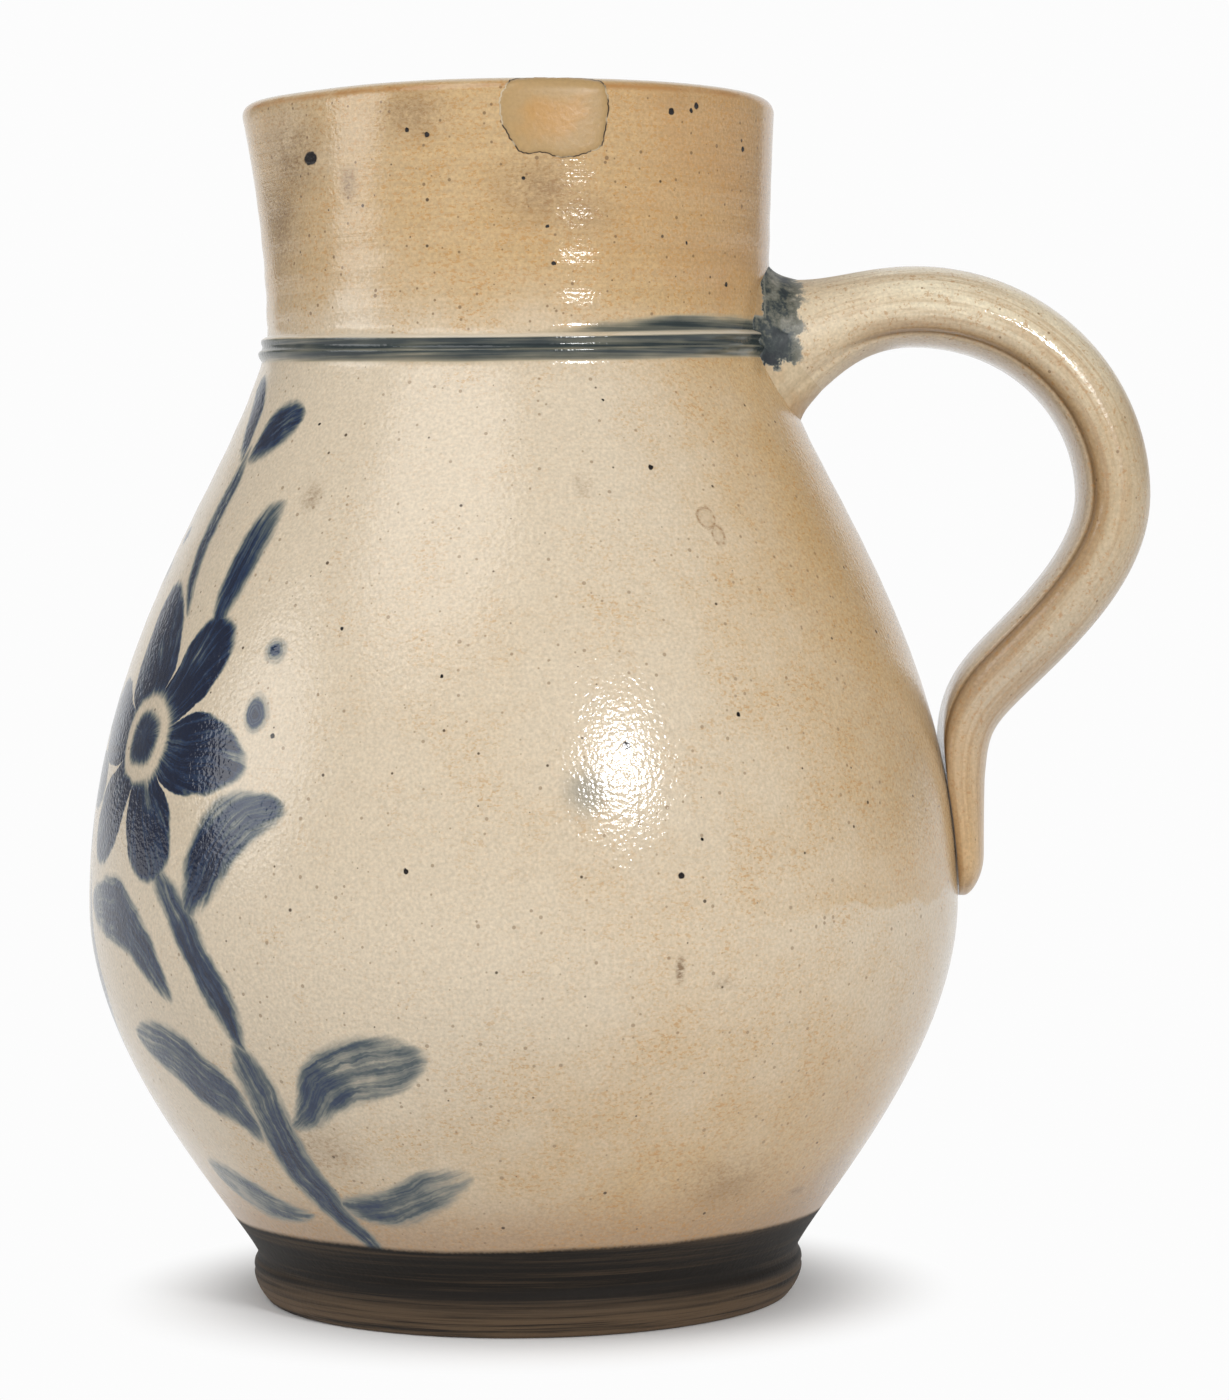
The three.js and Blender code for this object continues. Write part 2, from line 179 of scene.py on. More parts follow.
inside += bend_points(
    HOLLOW_STEPS,
    (NECK_RADIUS - WALL, COLLAR_HEIGHT),
    (NECK_RADIUS - WALL + SHOULDER_SPLAY, COLLAR_HEIGHT - SHOULDER_LIFT),
    (BELLY_RADIUS - WALL, BELLY_HEIGHT + BELLY_ROUND_ABOVE),
    (BELLY_RADIUS - WALL, BELLY_HEIGHT),
)
inside += bend_points(
    HOLLOW_STEPS,
    (BELLY_RADIUS - WALL, BELLY_HEIGHT),
    (BELLY_RADIUS - WALL, BELLY_HEIGHT - BELLY_ROUND_BELOW),
    (WAIST_RADIUS - WALL, FLOOR),
    (WAIST_RADIUS - WALL - FLOOR_CURVE, FLOOR),
)[1:]


def outer_radius(height):
    """Radius of the body's outside at a height, before the potter's pulls."""
    for low, high in zip(outside, outside[1:]):
        if low.y <= height <= high.y:
            return low.x + (high.x - low.x) * (height - low.y) / (high.y - low.y)
    return outside[0].x if height < 0 else outside[-1].x


def spout_pull(angle, height):
    """How far the neck is pulled outwards at an angle from the middle of the pouring lip."""
    rise = min(max((height - NECK_FOOT) / NECK_HEIGHT, 0), 1)
    half = SPOUT_ROOT_HALF_ANGLE + (SPOUT_HALF_ANGLE - SPOUT_ROOT_HALF_ANGLE) * rise
    across = angle / half
    crest = math.cos(across * math.pi / 2) ** 2 if across < 1 else 0
    pinch = math.sin(across * math.pi / 2) ** 4 if across < 2 else 0
    return rise**2 * (SPOUT_PULL * crest - SPOUT_PINCH * pinch)


def throwing_mark(height):
    """Inward relief left by the wheel: turned grooves on the foot, faint ridges higher up."""
    if height < FOOT_HEIGHT:
        grooves = [math.exp(-(((height - at) / FOOT_GROOVE_SPREAD) ** 2)) for at in FOOT_GROOVES]
        return FOOT_GROOVE_DEPTH * sum(grooves)
    ridge = THROWING_RIDGE * ease(height, BELLY_HEIGHT, COLLAR_HEIGHT)
    if NECK_FOOT < height:
        ridge = NECK_RIDGE * ease(height, HEIGHT - 2 * LIP_ROUNDING, NECK_FOOT)
    return ridge * (1 - math.cos(2 * math.pi * height / THROWING_PITCH + THROWING_START)) / 2


def pulled(point):
    """A point of the plain turned shape, moved as the potter's hands moved it."""
    radius = math.hypot(point.x, point.y)
    if radius < STILL_RADIUS:
        return point
    turn = math.atan2(point.y, point.x)
    grown = spout_pull(math.pi - abs(turn), point.z) - throwing_mark(point.z)
    sagging = 1 - abs(point.z - (COLLAR_HEIGHT + NECK_FOOT) / 2) / (NECK_HEIGHT / 2)
    lift = BEAD_SAG * ease(sagging, 0, 1) * math.cos(2 * turn)
    share = 1 + grown / radius
    return Vector((point.x * share, point.y * share, point.z + lift))


def finished(name, mesh):
    """Object of a mesh, smooth shaded, at the origin."""
    for face in mesh.faces:
        face.smooth = True
    data = bpy.data.meshes.new(name)
    mesh.to_mesh(data)
    mesh.free()
    piece = bpy.data.objects.new(name, data)
    bpy.context.scene.collection.objects.link(piece)
    return piece


mesh = bmesh.new()
on_outside = mesh.verts.layers.float.new("on_outside")
axis_line = [Vector((0, 0))] + outside + inside + [Vector((0, FLOOR))]
line = [mesh.verts.new((point.x, 0, point.y)) for point in axis_line]
for vert in line[:len(outside) + 1]:
    vert[on_outside] = 1.0
edges = [mesh.edges.new(pair) for pair in zip(line, line[1:])]
bmesh.ops.spin(
    mesh, geom=line + edges, cent=(0, 0, 0), axis=(0, 0, 1),
    angle=2 * math.pi, steps=TURN_STEPS, use_merge=True,
)
bmesh.ops.remove_doubles(mesh, verts=mesh.verts, dist=SAME_POINT)
bmesh.ops.recalc_face_normals(mesh, faces=mesh.faces)
for vert in mesh.verts:
    vert.co = pulled(vert.co)
body = finished("pitcher_body", mesh)


class Finish:
    """A procedural finish while it is being made up, with short calls for the nodes that it needs."""

    NOISE_MIDDLE = 0.5
    LEAST_DOT = 0.5
    DOT_SOFTNESS = 0.35

    def __init__(self, name):
        self.material = bpy.data.materials.new(name)
        self.material.use_nodes = True
        self.tree = self.material.node_tree
        self.shader = self.tree.nodes["Principled BSDF"]
        self.place = self.node("TexCoord").outputs["Object"]

    def node(self, kind, inputs=(), **settings):
        made = self.tree.nodes.new("ShaderNode" + kind)
        for name, value in settings.items():
            setattr(made, name, value)
        for key, value in dict(inputs).items():
            self.feed(made.inputs[key], value)
        return made

    def feed(self, socket, value):
        if isinstance(value, bpy.types.NodeSocket):
            self.tree.links.new(value, socket)
        elif socket.type == "RGBA" and len(value) == 3:
            socket.default_value = (*value, 1)
        else:
            socket.default_value = value

    def coat(self, piece, looks):
        """Sets the named inputs of the shader and lays the finish on a piece."""
        for name, value in looks.items():
            self.feed(self.shader.inputs[name], value)
        piece.data.materials.append(self.material)

    def reckon(self, operation, *values):
        return self.node("Math", enumerate(values), operation=operation).outputs[0]

    def times(self, *values):
        total = values[0]
        for value in values[1:]:
            total = self.reckon("MULTIPLY", total, value)
        return total

    def plus(self, *values):
        total = values[0]
        for value in values[1:]:
            total = self.reckon("ADD", total, value)
        return total

    def sway(self, noise, reach):
        """Swing of a noise to either side of its middle, over a reach."""
        return self.times(self.plus(noise, -self.NOISE_MIDDLE), reach)

    def move(self, operation, *vectors):
        """Vector made from other vectors."""
        return self.node("VectorMath", enumerate(vectors), operation=operation).outputs[0]

    def measure(self, operation, *vectors):
        """Number measured from vectors."""
        return self.node("VectorMath", enumerate(vectors), operation=operation).outputs["Value"]

    def parts(self, vector):
        return self.node("SeparateXYZ", {0: vector}).outputs

    def point(self, x, y, z):
        return self.node("CombineXYZ", {0: x, 1: y, 2: z}).outputs[0]

    def stretched(self, vector, *scale):
        return self.move("MULTIPLY", vector, scale)

    def noise(self, vector, scale, detail=2.0, rough=0.5):
        inputs = {"Vector": vector, "Scale": scale, "Detail": detail, "Roughness": rough}
        return self.node("TexNoise", inputs).outputs[0]

    def drift(self, scale, detail=2.0):
        """A noise along all three axes at once."""
        return self.node("TexNoise", {"Vector": self.place, "Scale": scale, "Detail": detail}).outputs[1]

    def rise(self, value, low, high, bottom=0.0, top=1.0):
        inputs = {"Value": value, 1: low, 2: high, 3: bottom, 4: top}
        return self.node("MapRange", inputs, interpolation_type="SMOOTHSTEP").outputs[0]

    def between(self, value, low, high, fade):
        """1 between two values, with a soft edge at each."""
        past_low = self.rise(value, low - fade, low + fade)
        return self.times(past_low, self.rise(value, high + fade, high - fade))

    def blend(self, share, under, over):
        return self.node("Mix", {0: share, 6: under, 7: over}, data_type="RGBA").outputs[2]

    def shaded(self, colour, shade):
        """A colour made darker or lighter by a grey."""
        inputs = {0: 1.0, 6: colour, 7: self.point(shade, shade, shade)}
        return self.node("Mix", inputs, data_type="RGBA", blend_type="MULTIPLY").outputs[2]

    def pick(self, share, under, over):
        return self.node("Mix", {0: share, 2: under, 3: over}, data_type="FLOAT").outputs[0]

    def ramp(self, value, *stops):
        made = self.node("ValToRGB", {0: value})
        elements = made.color_ramp.elements
        while len(elements) < len(stops):
            elements.new(1)
        for element, (at, colour) in zip(elements, stops):
            element.position = at
            element.color = (*colour, 1)
        return made.outputs[0]

    def dots(self, scale, size, share):
        """Scattered round dots: cells of a given scale, of which a share holds a dot up to a size."""
        cell = self.node("TexVoronoi", {"Vector": self.place, "Scale": scale})
        lot = self.parts(cell.outputs["Color"])
        reach = self.times(
            self.rise(lot[0], 1 - share, 1, 0, size), self.rise(lot[1], 0, 1, self.LEAST_DOT, 1)
        )
        gap = self.reckon("SUBTRACT", reach, cell.outputs["Distance"])
        return self.rise(gap, 0, size * self.DOT_SOFTNESS)

    def relief(self, height, distance, under=None):
        inputs = {"Height": height, "Distance": distance, "Strength": 1.0}
        if under is not None:
            inputs["Normal"] = under
        return self.node("Bump", inputs).outputs[0]


# Clay and glaze colours of the body
CREAM = (0.635, 0.535, 0.40)
TAN = (0.53, 0.365, 0.185)
RUST = (0.42, 0.21, 0.07)
PINK_CLAY = (0.40, 0.265, 0.165)
IRON = (0.010, 0.007, 0.006)
FRECKLE = (0.50, 0.265, 0.085)
DARK_SPECK = (0.060, 0.034, 0.018)
BROWN_SPECK = (0.20, 0.12, 0.055)
STAIN_BROWN = (0.245, 0.158, 0.085)
SCORCH_BROWN = (0.27, 0.145, 0.055)
# Pale colour: bare clay and painted highlight on the top bead's crest, painted reflection on the top of the
# lip
PALE_CLAY_AND_PAINTED_SHEEN = (0.66, 0.58, 0.46)
FOOT_WASH = (0.0095, 0.0090, 0.0088)
FOOT_WORN = (0.150, 0.100, 0.060)
COBALT_WASH = (0.225, 0.225, 0.195)
COBALT_THIN = (0.072, 0.092, 0.100)
COBALT_MID = (0.012, 0.030, 0.075)
COBALT_DEEP = (0.0022, 0.008, 0.030)
BAND_PALE = (0.40, 0.335, 0.225)
BAND_GREY = (0.135, 0.135, 0.105)
BAND_TEAL = (0.030, 0.041, 0.042)
BAND_BLACK = (0.008, 0.012, 0.017)
GLAZE_SHEEN = (1, 1, 1)
FOOT_SHEEN = (0.34, 0.32, 0.30)

# Scales of the patterns in the glaze, in features to the metre
CLOUD_SCALE = 14
MOTTLE_SCALE = 75
FRECKLE_SCALES = (850, 850, 1500)
GRAIN_SCALE = 1500
PEEL_SCALE = 1050
RING_SCALES = (12, 12, 1150)

glaze = Finish("salt_glaze_with_cobalt")
east, north, height = glaze.parts(glaze.place)
turn = glaze.reckon("ARCTAN2", east, glaze.times(north, -1))


def by_turn(start, end, bottom=0.0, top=1.0):
    """Rise between two turns from the front towards the handle, in degrees."""
    return glaze.rise(turn, math.radians(start), math.radians(end), bottom, top)


not_behind = by_turn(176, 120)
on_outer_face = glaze.node("Attribute", attribute_name="on_outside").outputs["Fac"]
clouds = glaze.noise(glaze.place, CLOUD_SCALE, 3)
mottle = glaze.noise(glaze.place, MOTTLE_SCALE, 4, 0.6)
grain = glaze.noise(glaze.place, GRAIN_SCALE, 2)
rings = glaze.noise(glaze.stretched(glaze.place, *RING_SCALES), 1, 3, 0.65)

# Warm flashing: the neck, the handle's side above a tide line, and the clay near the foot
NECK_FLASH = (0.192, 0.226)
TIDE_HEIGHT = 0.0885
TIDE_WAVER = 0.012
TIDE_FADE = (-0.0005, 0.0014)
LOW_FLASH = (0.080, 0.018)
PINK_RISE = (0.036, 0.019)
COOLEST = -0.14
NECK_WARMTH = 0.82
FRONT_WARMTH = 0.36
ABOVE_TIDE_WARMTH = 0.42
NECK_BY_HANDLE_WARMTH = -0.22
HANDLE_SIDE_WARMTH = 0.16
LOW_WARMTH = 0.50
CLOUD_WARMTH = 0.8
MOTTLE_WARMTH = 0.6

neck_zone = glaze.rise(height, *NECK_FLASH)
tide_line = glaze.plus(TIDE_HEIGHT, glaze.sway(mottle, TIDE_WAVER))
handle_zone = glaze.times(by_turn(18, 62), by_turn(172, 130))
above_tide = glaze.rise(glaze.reckon("SUBTRACT", height, tide_line), *TIDE_FADE)
low_zone = glaze.rise(height, *LOW_FLASH)
away_from_spout = by_turn(-60, 40)
warmth = glaze.plus(
    COOLEST,
    glaze.times(neck_zone, NECK_WARMTH),
    glaze.times(away_from_spout, not_behind, FRONT_WARMTH),
    glaze.times(handle_zone, above_tide, ABOVE_TIDE_WARMTH),
    glaze.times(handle_zone, neck_zone, NECK_BY_HANDLE_WARMTH),
    glaze.times(handle_zone, HANDLE_SIDE_WARMTH),
    glaze.times(low_zone, LOW_WARMTH),
    glaze.sway(clouds, CLOUD_WARMTH),
    glaze.sway(mottle, MOTTLE_WARMTH),
)
colour = glaze.blend(glaze.rise(warmth, 0, 1), CREAM, TAN)
colour = glaze.blend(glaze.rise(warmth, 0.85, 1.7, 0, 0.6), colour, RUST)
colour = glaze.blend(glaze.rise(height, *PINK_RISE, 0, 0.75), colour, PINK_CLAY)

# Grain of the glaze: pale and dark pebbling, turning lines, orange freckles, brown and dark specks. Specks
# have cells to the metre, a size in cells and a share of cells that hold one.
GRAIN_DARKEST = 0.73
GRAIN_SPAN = 0.56
RING_SPAN = 0.42
RINGS_ON_BELLY = 0.15
RINGS_ON_NECK = 0.5
BROWN_SPECKS = (560, 0.30, 0.68)
DARK_SPECKS = (290, 0.15, 0.55)
FRECKLE_SWAY = 2.2

ring_share = glaze.plus(RINGS_ON_BELLY, glaze.times(neck_zone, RINGS_ON_NECK))
shade = glaze.plus(
    GRAIN_DARKEST, glaze.times(grain, GRAIN_SPAN), glaze.times(glaze.sway(rings, ring_share), RING_SPAN)
)
colour = glaze.shaded(colour, shade)
freckle_grain = glaze.noise(glaze.stretched(glaze.place, *FRECKLE_SCALES), 1, 2, 0.8)
freckles = glaze.rise(freckle_grain, 0.52, 0.64)
freckled = glaze.rise(glaze.plus(warmth, glaze.sway(mottle, FRECKLE_SWAY)), -0.2, 1.2, 0.08, 0.72)
colour = glaze.blend(glaze.times(freckles, freckled), colour, FRECKLE)
brown_specks = glaze.times(glaze.dots(*BROWN_SPECKS), glaze.rise(neck_zone, 0, 1, 0.56, 0.82))
colour = glaze.blend(brown_specks, colour, BROWN_SPECK)
colour = glaze.blend(glaze.times(glaze.dots(*DARK_SPECKS), 0.9), colour, DARK_SPECK)

# Kiln dirt in soft stains, each at a turn in degrees from the front, a height and a radius, with its
# height as a share of its width, and its strength
STAINS = (
    (6.0, 0.2375, 0.015, 0.8, 0.75), (14.0, 0.2325, 0.013, 0.6, 0.60), (-38.0, 0.2395, 0.0035, 1.6, 0.95),
    (-66.0, 0.2330, 0.016, 1.2, 0.85), (-58.0, 0.2470, 0.018, 0.8, 0.90), (-22.0, 0.2530, 0.014, 0.6, 0.70),
    (74.0, 0.2360, 0.019, 1.2, 0.45), (82.0, 0.2180, 0.016, 1.0, 0.60), (40.0, 0.2570, 0.012, 0.4, 0.25),
    (-37.0, 0.1745, 0.004, 1.5, 0.75), (12.0, 0.1761, 0.0035, 1.4, 0.60), (-32.0, 0.0420, 0.018, 0.7, 0.55),
    (35.0, 0.0330, 0.018, 0.6, 0.55), (66.0, 0.0300, 0.018, 0.6, 0.65), (150.0, 0.1600, 0.010, 1.3, 0.50),
    (-160.0, 0.2300, 0.014, 1.0, 0.60), (170.0, 0.0900, 0.010, 1.2, 0.45), (20.2, 0.0794, 0.0016, 2.6, 1.6),
    (26.0, 0.0760, 0.0040, 0.5, 0.55), (54.0, 0.0275, 0.0050, 0.4, 0.80),
)

# A scorch on the shoulder, shaped as a ring with a smaller one hanging from it
SCORCH_PLACE = (33.0, 0.1693)
SCORCH_RADIUS = 0.0023
SCORCH_TALL = 1.2
HANGING_TURN = 1.4
HANGING_DROP = 0.0036
HANGING_TALL = 2.0
HANGING_SHRINK = 0.3
SCORCH_INNER_SHARE = 0.80
SCORCH_HAZE_SHARE = 0.7
SCORCH_FADE = 0.0003

# Iron spots that bled through, each at a turn in degrees from the front, a height and a radius. The largest
# is a flat oval, with its height as a share of its width.
LARGE_SPOT = (-50.3, 0.2455, 0.64)
LARGE_SPOT_RADIUS = 0.0024
SPOT_EDGE_OUTSIDE = 1.15
SPOT_EDGE_INSIDE = 0.8
LARGE_SPOT_EDGE_OUTSIDE = 1.1
LARGE_SPOT_EDGE_INSIDE = 0.85
IRON_SPOTS = (
    (-18.1, 0.2486, 0.0006), (-22.6, 0.2497, 0.0005), (36.3, 0.2536, 0.0008),
    (43.3, 0.2551, 0.0007), (41.8, 0.2540, 0.0005), (60.5, 0.2472, 0.0007), (2.6, 0.2393, 0.0004),
    (7.6, 0.2294, 0.0004), (8.9, 0.2218, 0.0005), (41.1, 0.2266, 0.0004), (54.5, 0.2184, 0.0006),
    (14.4, 0.1242, 0.0008), (30.6, 0.1296, 0.0005), (20.5, 0.0982, 0.0007), (23.5, 0.1052, 0.0004),
    (-33.2, 0.1261, 0.0006), (-13.2, 0.0999, 0.0006), (24.8, 0.1797, 0.0006), (17.9, 0.1938, 0.0004),
    (-41.1, 0.1895, 0.0004), (-25.0, 0.1477, 0.0004), (-9.6, 0.1382, 0.0004), (131.0, 0.152, 0.0009),
    (-152.0, 0.118, 0.0008), (168.0, 0.226, 0.0007), (104.0, 0.064, 0.0006), (-118.0, 0.235, 0.0006),
)
MARK_WANDER = 0.0006
MARK_WANDER_SCALE = 900


def on_body(turn_degrees, at_height):
    """Point of the body's outside at a turn from the front and a height."""
    angle = math.radians(turn_degrees)
    radius = outer_radius(at_height)
    return Vector((radius * math.sin(angle), -radius * math.cos(angle), at_height))


wander = glaze.stretched(glaze.drift(MARK_WANDER_SCALE), MARK_WANDER, MARK_WANDER, MARK_WANDER)
wobbled = glaze.move("ADD", glaze.place, wander)


def span_from(spot_turn, spot_height, tall):
    """Distance from a place on the body, in which a height counts less where the mark is tall."""
    centre = on_body(spot_turn, spot_height) + Vector((1, 1, 1)) * MARK_WANDER / 2
    offset = glaze.stretched(glaze.move("SUBTRACT", wobbled, centre), 1, 1, 1 / tall)
    return glaze.measure("LENGTH", offset)


stain = 0.0
for spot_turn, spot_height, spot_radius, tall, strength in STAINS:
    away = span_from(spot_turn, spot_height, tall)
    stain = glaze.reckon("MAXIMUM", stain, glaze.rise(away, spot_radius, 0, 0, strength))
stain_grain = glaze.plus(glaze.times(mottle, 0.6), glaze.times(freckle_grain, 0.7))
colour = glaze.blend(glaze.times(stain, glaze.rise(stain_grain, 0.40, 0.84)), colour, STAIN_BROWN)
scorch_turn, scorch_height = SCORCH_PLACE
hanging_away = span_from(scorch_turn + HANGING_TURN, scorch_height - HANGING_DROP, HANGING_TALL)
scorch_away = glaze.reckon(
    "MINIMUM",
    span_from(scorch_turn, scorch_height, SCORCH_TALL),
    glaze.plus(hanging_away, SCORCH_RADIUS * HANGING_SHRINK),
)
scorch = glaze.between(scorch_away, SCORCH_RADIUS * SCORCH_INNER_SHARE, SCORCH_RADIUS, SCORCH_FADE)
scorch = glaze.times(scorch, glaze.rise(freckle_grain, 0.36, 0.60, 0.2, 0.8))
scorch_haze = glaze.rise(scorch_away, SCORCH_RADIUS, SCORCH_RADIUS * SCORCH_HAZE_SHARE, 0, 0.14)
colour = glaze.blend(glaze.plus(scorch, scorch_haze), colour, SCORCH_BROWN)
iron = glaze.rise(
    span_from(*LARGE_SPOT),
    LARGE_SPOT_RADIUS * LARGE_SPOT_EDGE_OUTSIDE,
    LARGE_SPOT_RADIUS * LARGE_SPOT_EDGE_INSIDE,
)
for spot_turn, spot_height, spot_radius in IRON_SPOTS:
    away = span_from(spot_turn, spot_height, 1)
    spot = glaze.rise(away, spot_radius * SPOT_EDGE_OUTSIDE, spot_radius * SPOT_EDGE_INSIDE)
    iron = glaze.reckon("MAXIMUM", iron, spot)
colour = glaze.blend(iron, colour, IRON)

# Brushed cobalt: a flower spray on the pouring side. Each stroke has a place on the unrolled belly
# (millimetres round from the pouring lip towards the front, and up), a direction in degrees, a length,
# a width and a bow in millimetres, and how much cobalt the brush held.
BRUSH_STROKES = (
    (84, 40, 114, 54, 9.0, 3.0, 0.86), (65, 80, 118, 44, 8.0, -3.0, 0.96),
    (44, 168, 96, 34, 6.5, 3.0, 0.95), (54, 187, 24, 24, 9.5, 1.5, 0.96),
    (33, 190, 128, 22, 8.5, -1.5, 0.95), (99, 54, 30, 38, 13.0, 4.0, 0.66),
    (105, 33, 6, 36, 11.0, -4.0, 0.54), (97, 56, 32, 28, 4.0, 3.0, 0.84),
    (56, 52, 152, 42, 15.0, -5.0, 0.78), (60, 30, 172, 40, 11.0, 3.0, 0.60),
    (77, 101, 50, 34, 13.0, 4.0, 0.90), (40, 82, 150, 40, 13.0, -4.0, 0.95),
    (66, 160, 66, 30, 10.0, 3.0, 0.74), (14, 66, 82, 62, 6.5, -4.0, 0.84),
    (-20, 92, 40, 40, 14.0, 4.0, 0.74), (-14, 56, 150, 42, 15.0, 4.0, 0.70),
    (-46, 56, 120, 66, 6.5, 4.0, 0.82), (-74, 66, 30, 42, 14.0, -4.0, 0.64),
    (-86, 40, 158, 46, 14.0, 3.0, 0.56), (-96, 98, 145, 38, 13.0, -4.0, 0.76),
    (-44, 174, 84, 34, 5.5, 2.0, 0.92), (-52, 190, 130, 20, 8.0, 1.2, 0.92),
)
# Blossoms have a place, a reach, a number of petals, a turn and a load. Dots have a place and a radius.
BLOSSOMS = ((45, 125, 33, 6, 0.5, 1.0), (2, 116, 22, 5, 0.0, 0.95), (-64, 130, 28, 6, 0.9, 1.0))
PAINT_DOTS = ((79, 132, 3.2), (81, 143, 2.6), (14, 158, 2.8), (20, 168, 2.4), (-28, 158, 3.0))
MILLIMETRE = 0.001
PAINT_RADIUS = 0.085
HAND_WAVERS = ((34, 0.011), (170, 0.0016), (900, 0.0006))
BRUSH_TIP_POWER = 0.62
BRUSH_SKEW = 0.32
BRUSH_EDGE = 0.0013
BRUSH_LOT = 0.37
BRUSH_DRYING = 0.66
PETAL_POWER = 0.6
PETAL_SHARE = 0.72
PETAL_ROOT_SHARE = 0.28
BARE_EYE_SHARE = 0.27
HEART_SHARE = 0.17
PETAL_BRISTLE_SHARE = 0.6
DOT_LOAD = 0.85
FIRST_BLOSSOM_LOT = 40
FIRST_DOT_LOT = 60
BRISTLE_SCALE_ALONG = 40
BRISTLE_SCALE_ACROSS = 800
POOL_SCALE = 130
THINNEST_PAINT = 0.56
STREAK_SPAN = 0.58
POOL_SPAN = 1.2

unrolled = glaze.point(glaze.times(glaze.plus(turn, math.pi / 2), PAINT_RADIUS), height, 0.0)
for waver_scale, waver in HAND_WAVERS:
    stray = glaze.move("SUBTRACT", glaze.drift(waver_scale, 1), (0.5, 0.5, 0.5))
    unrolled = glaze.move("ADD", unrolled, glaze.stretched(stray, waver, waver, 0))


def touched(laid, depth, along, across, load, lot):
    """Paint laid so far and the run of its bristles, with one more touch of the brush over it: how deep a
    point lies inside the touch, where along and across it, its load and its lot."""
    paint, bristle_along, bristle_across = laid
    touch = glaze.rise(depth, -BRUSH_EDGE, 2 * BRUSH_EDGE, 0, load)
    over = glaze.reckon("GREATER_THAN", touch, paint)
    bristle_along = glaze.pick(over, bristle_along, glaze.plus(along, lot * BRUSH_LOT))
    bristle_across = glaze.pick(over, bristle_across, across)
    return glaze.reckon("MAXIMUM", paint, touch), bristle_along, bristle_across


laid = (0.0, 0.0, 0.0)
for lot, (round_mm, up_mm, direction, length, width, bow, load) in enumerate(BRUSH_STROKES):
    ahead = Vector((math.cos(math.radians(direction)), math.sin(math.radians(direction)), 0))
    aside = Vector((-ahead.y, ahead.x, 0))
    middle = Vector((round_mm, up_mm, 0)) * MILLIMETRE
    along = glaze.measure("DOT_PRODUCT", unrolled, ahead)
    across = glaze.measure("DOT_PRODUCT", unrolled, aside)
    half_length = length / 2 * MILLIMETRE
    widest = width / 2 * MILLIMETRE
    share = glaze.reckon("DIVIDE", glaze.plus(along, -middle.dot(ahead)), half_length)
    swell = glaze.reckon("MAXIMUM", glaze.reckon("SUBTRACT", 1, glaze.times(share, share)), 0)
    skewed = glaze.reckon("MULTIPLY_ADD", share, BRUSH_SKEW * widest, widest)
    half_width = glaze.times(glaze.reckon("POWER", swell, BRUSH_TIP_POWER), skewed)
    from_middle = glaze.plus(across, -middle.dot(aside))
    offset = glaze.reckon("MULTIPLY_ADD", swell, -bow * MILLIMETRE, from_middle)
    drying = glaze.rise(share, -0.3, 1.0, load, load * BRUSH_DRYING)
    inside_ends = glaze.reckon("MULTIPLY_ADD", glaze.reckon("ABSOLUTE", share), -half_length, half_length)
    inside_sides = glaze.reckon("SUBTRACT", half_width, glaze.reckon("ABSOLUTE", offset))
    depth = glaze.reckon("MINIMUM", inside_sides, inside_ends)
    laid = touched(laid, depth, along, offset, drying, lot)

for lot, (round_mm, up_mm, reach_mm, petals, start, load) in enumerate(BLOSSOMS, FIRST_BLOSSOM_LOT):
    centre = Vector((round_mm, up_mm, 0)) * MILLIMETRE
    reach = reach_mm * MILLIMETRE
    offset = glaze.move("SUBTRACT", unrolled, centre)
    away = glaze.measure("LENGTH", offset)
    sideways, upwards, _ = glaze.parts(offset)
    bearing = glaze.reckon("ARCTAN2", upwards, sideways)
    lobe = glaze.reckon("COSINE", glaze.reckon("MULTIPLY_ADD", bearing, petals / 2, start))
    lobe = glaze.reckon("POWER", glaze.reckon("ABSOLUTE", lobe), PETAL_POWER)
    tip = glaze.reckon("MULTIPLY_ADD", lobe, reach * PETAL_SHARE, reach * PETAL_ROOT_SHARE)
    past_eye = glaze.plus(away, -reach * BARE_EYE_SHARE)
    ring = glaze.reckon("MINIMUM", glaze.reckon("SUBTRACT", tip, away), past_eye)
    heart = glaze.reckon("SUBTRACT", reach * HEART_SHARE, away)
    depth = glaze.reckon("MAXIMUM", ring, heart)
    laid = touched(laid, depth, away, glaze.times(bearing, reach * PETAL_BRISTLE_SHARE), load, lot)

for lot, (round_mm, up_mm, radius_mm) in enumerate(PAINT_DOTS, FIRST_DOT_LOT):
    centre = Vector((round_mm, up_mm, 0)) * MILLIMETRE
    away = glaze.measure("DISTANCE", unrolled, centre)
    depth = glaze.reckon("SUBTRACT", radius_mm * MILLIMETRE, away)
    laid = touched(laid, depth, away, away, DOT_LOAD, lot)

paint, bristle_along, bristle_across = laid
bristles = glaze.point(
    glaze.times(bristle_along, BRISTLE_SCALE_ALONG), glaze.times(bristle_across, BRISTLE_SCALE_ACROSS), 0.0
)
streaks = glaze.rise(glaze.noise(bristles, 1, 3, 0.65), 0.30, 0.72)
pooling = glaze.noise(glaze.place, POOL_SCALE, 3, 0.6)
thickness = glaze.plus(THINNEST_PAINT, glaze.times(streaks, STREAK_SPAN), glaze.sway(pooling, POOL_SPAN))
spray_load = glaze.times(paint, on_outer_face, thickness)

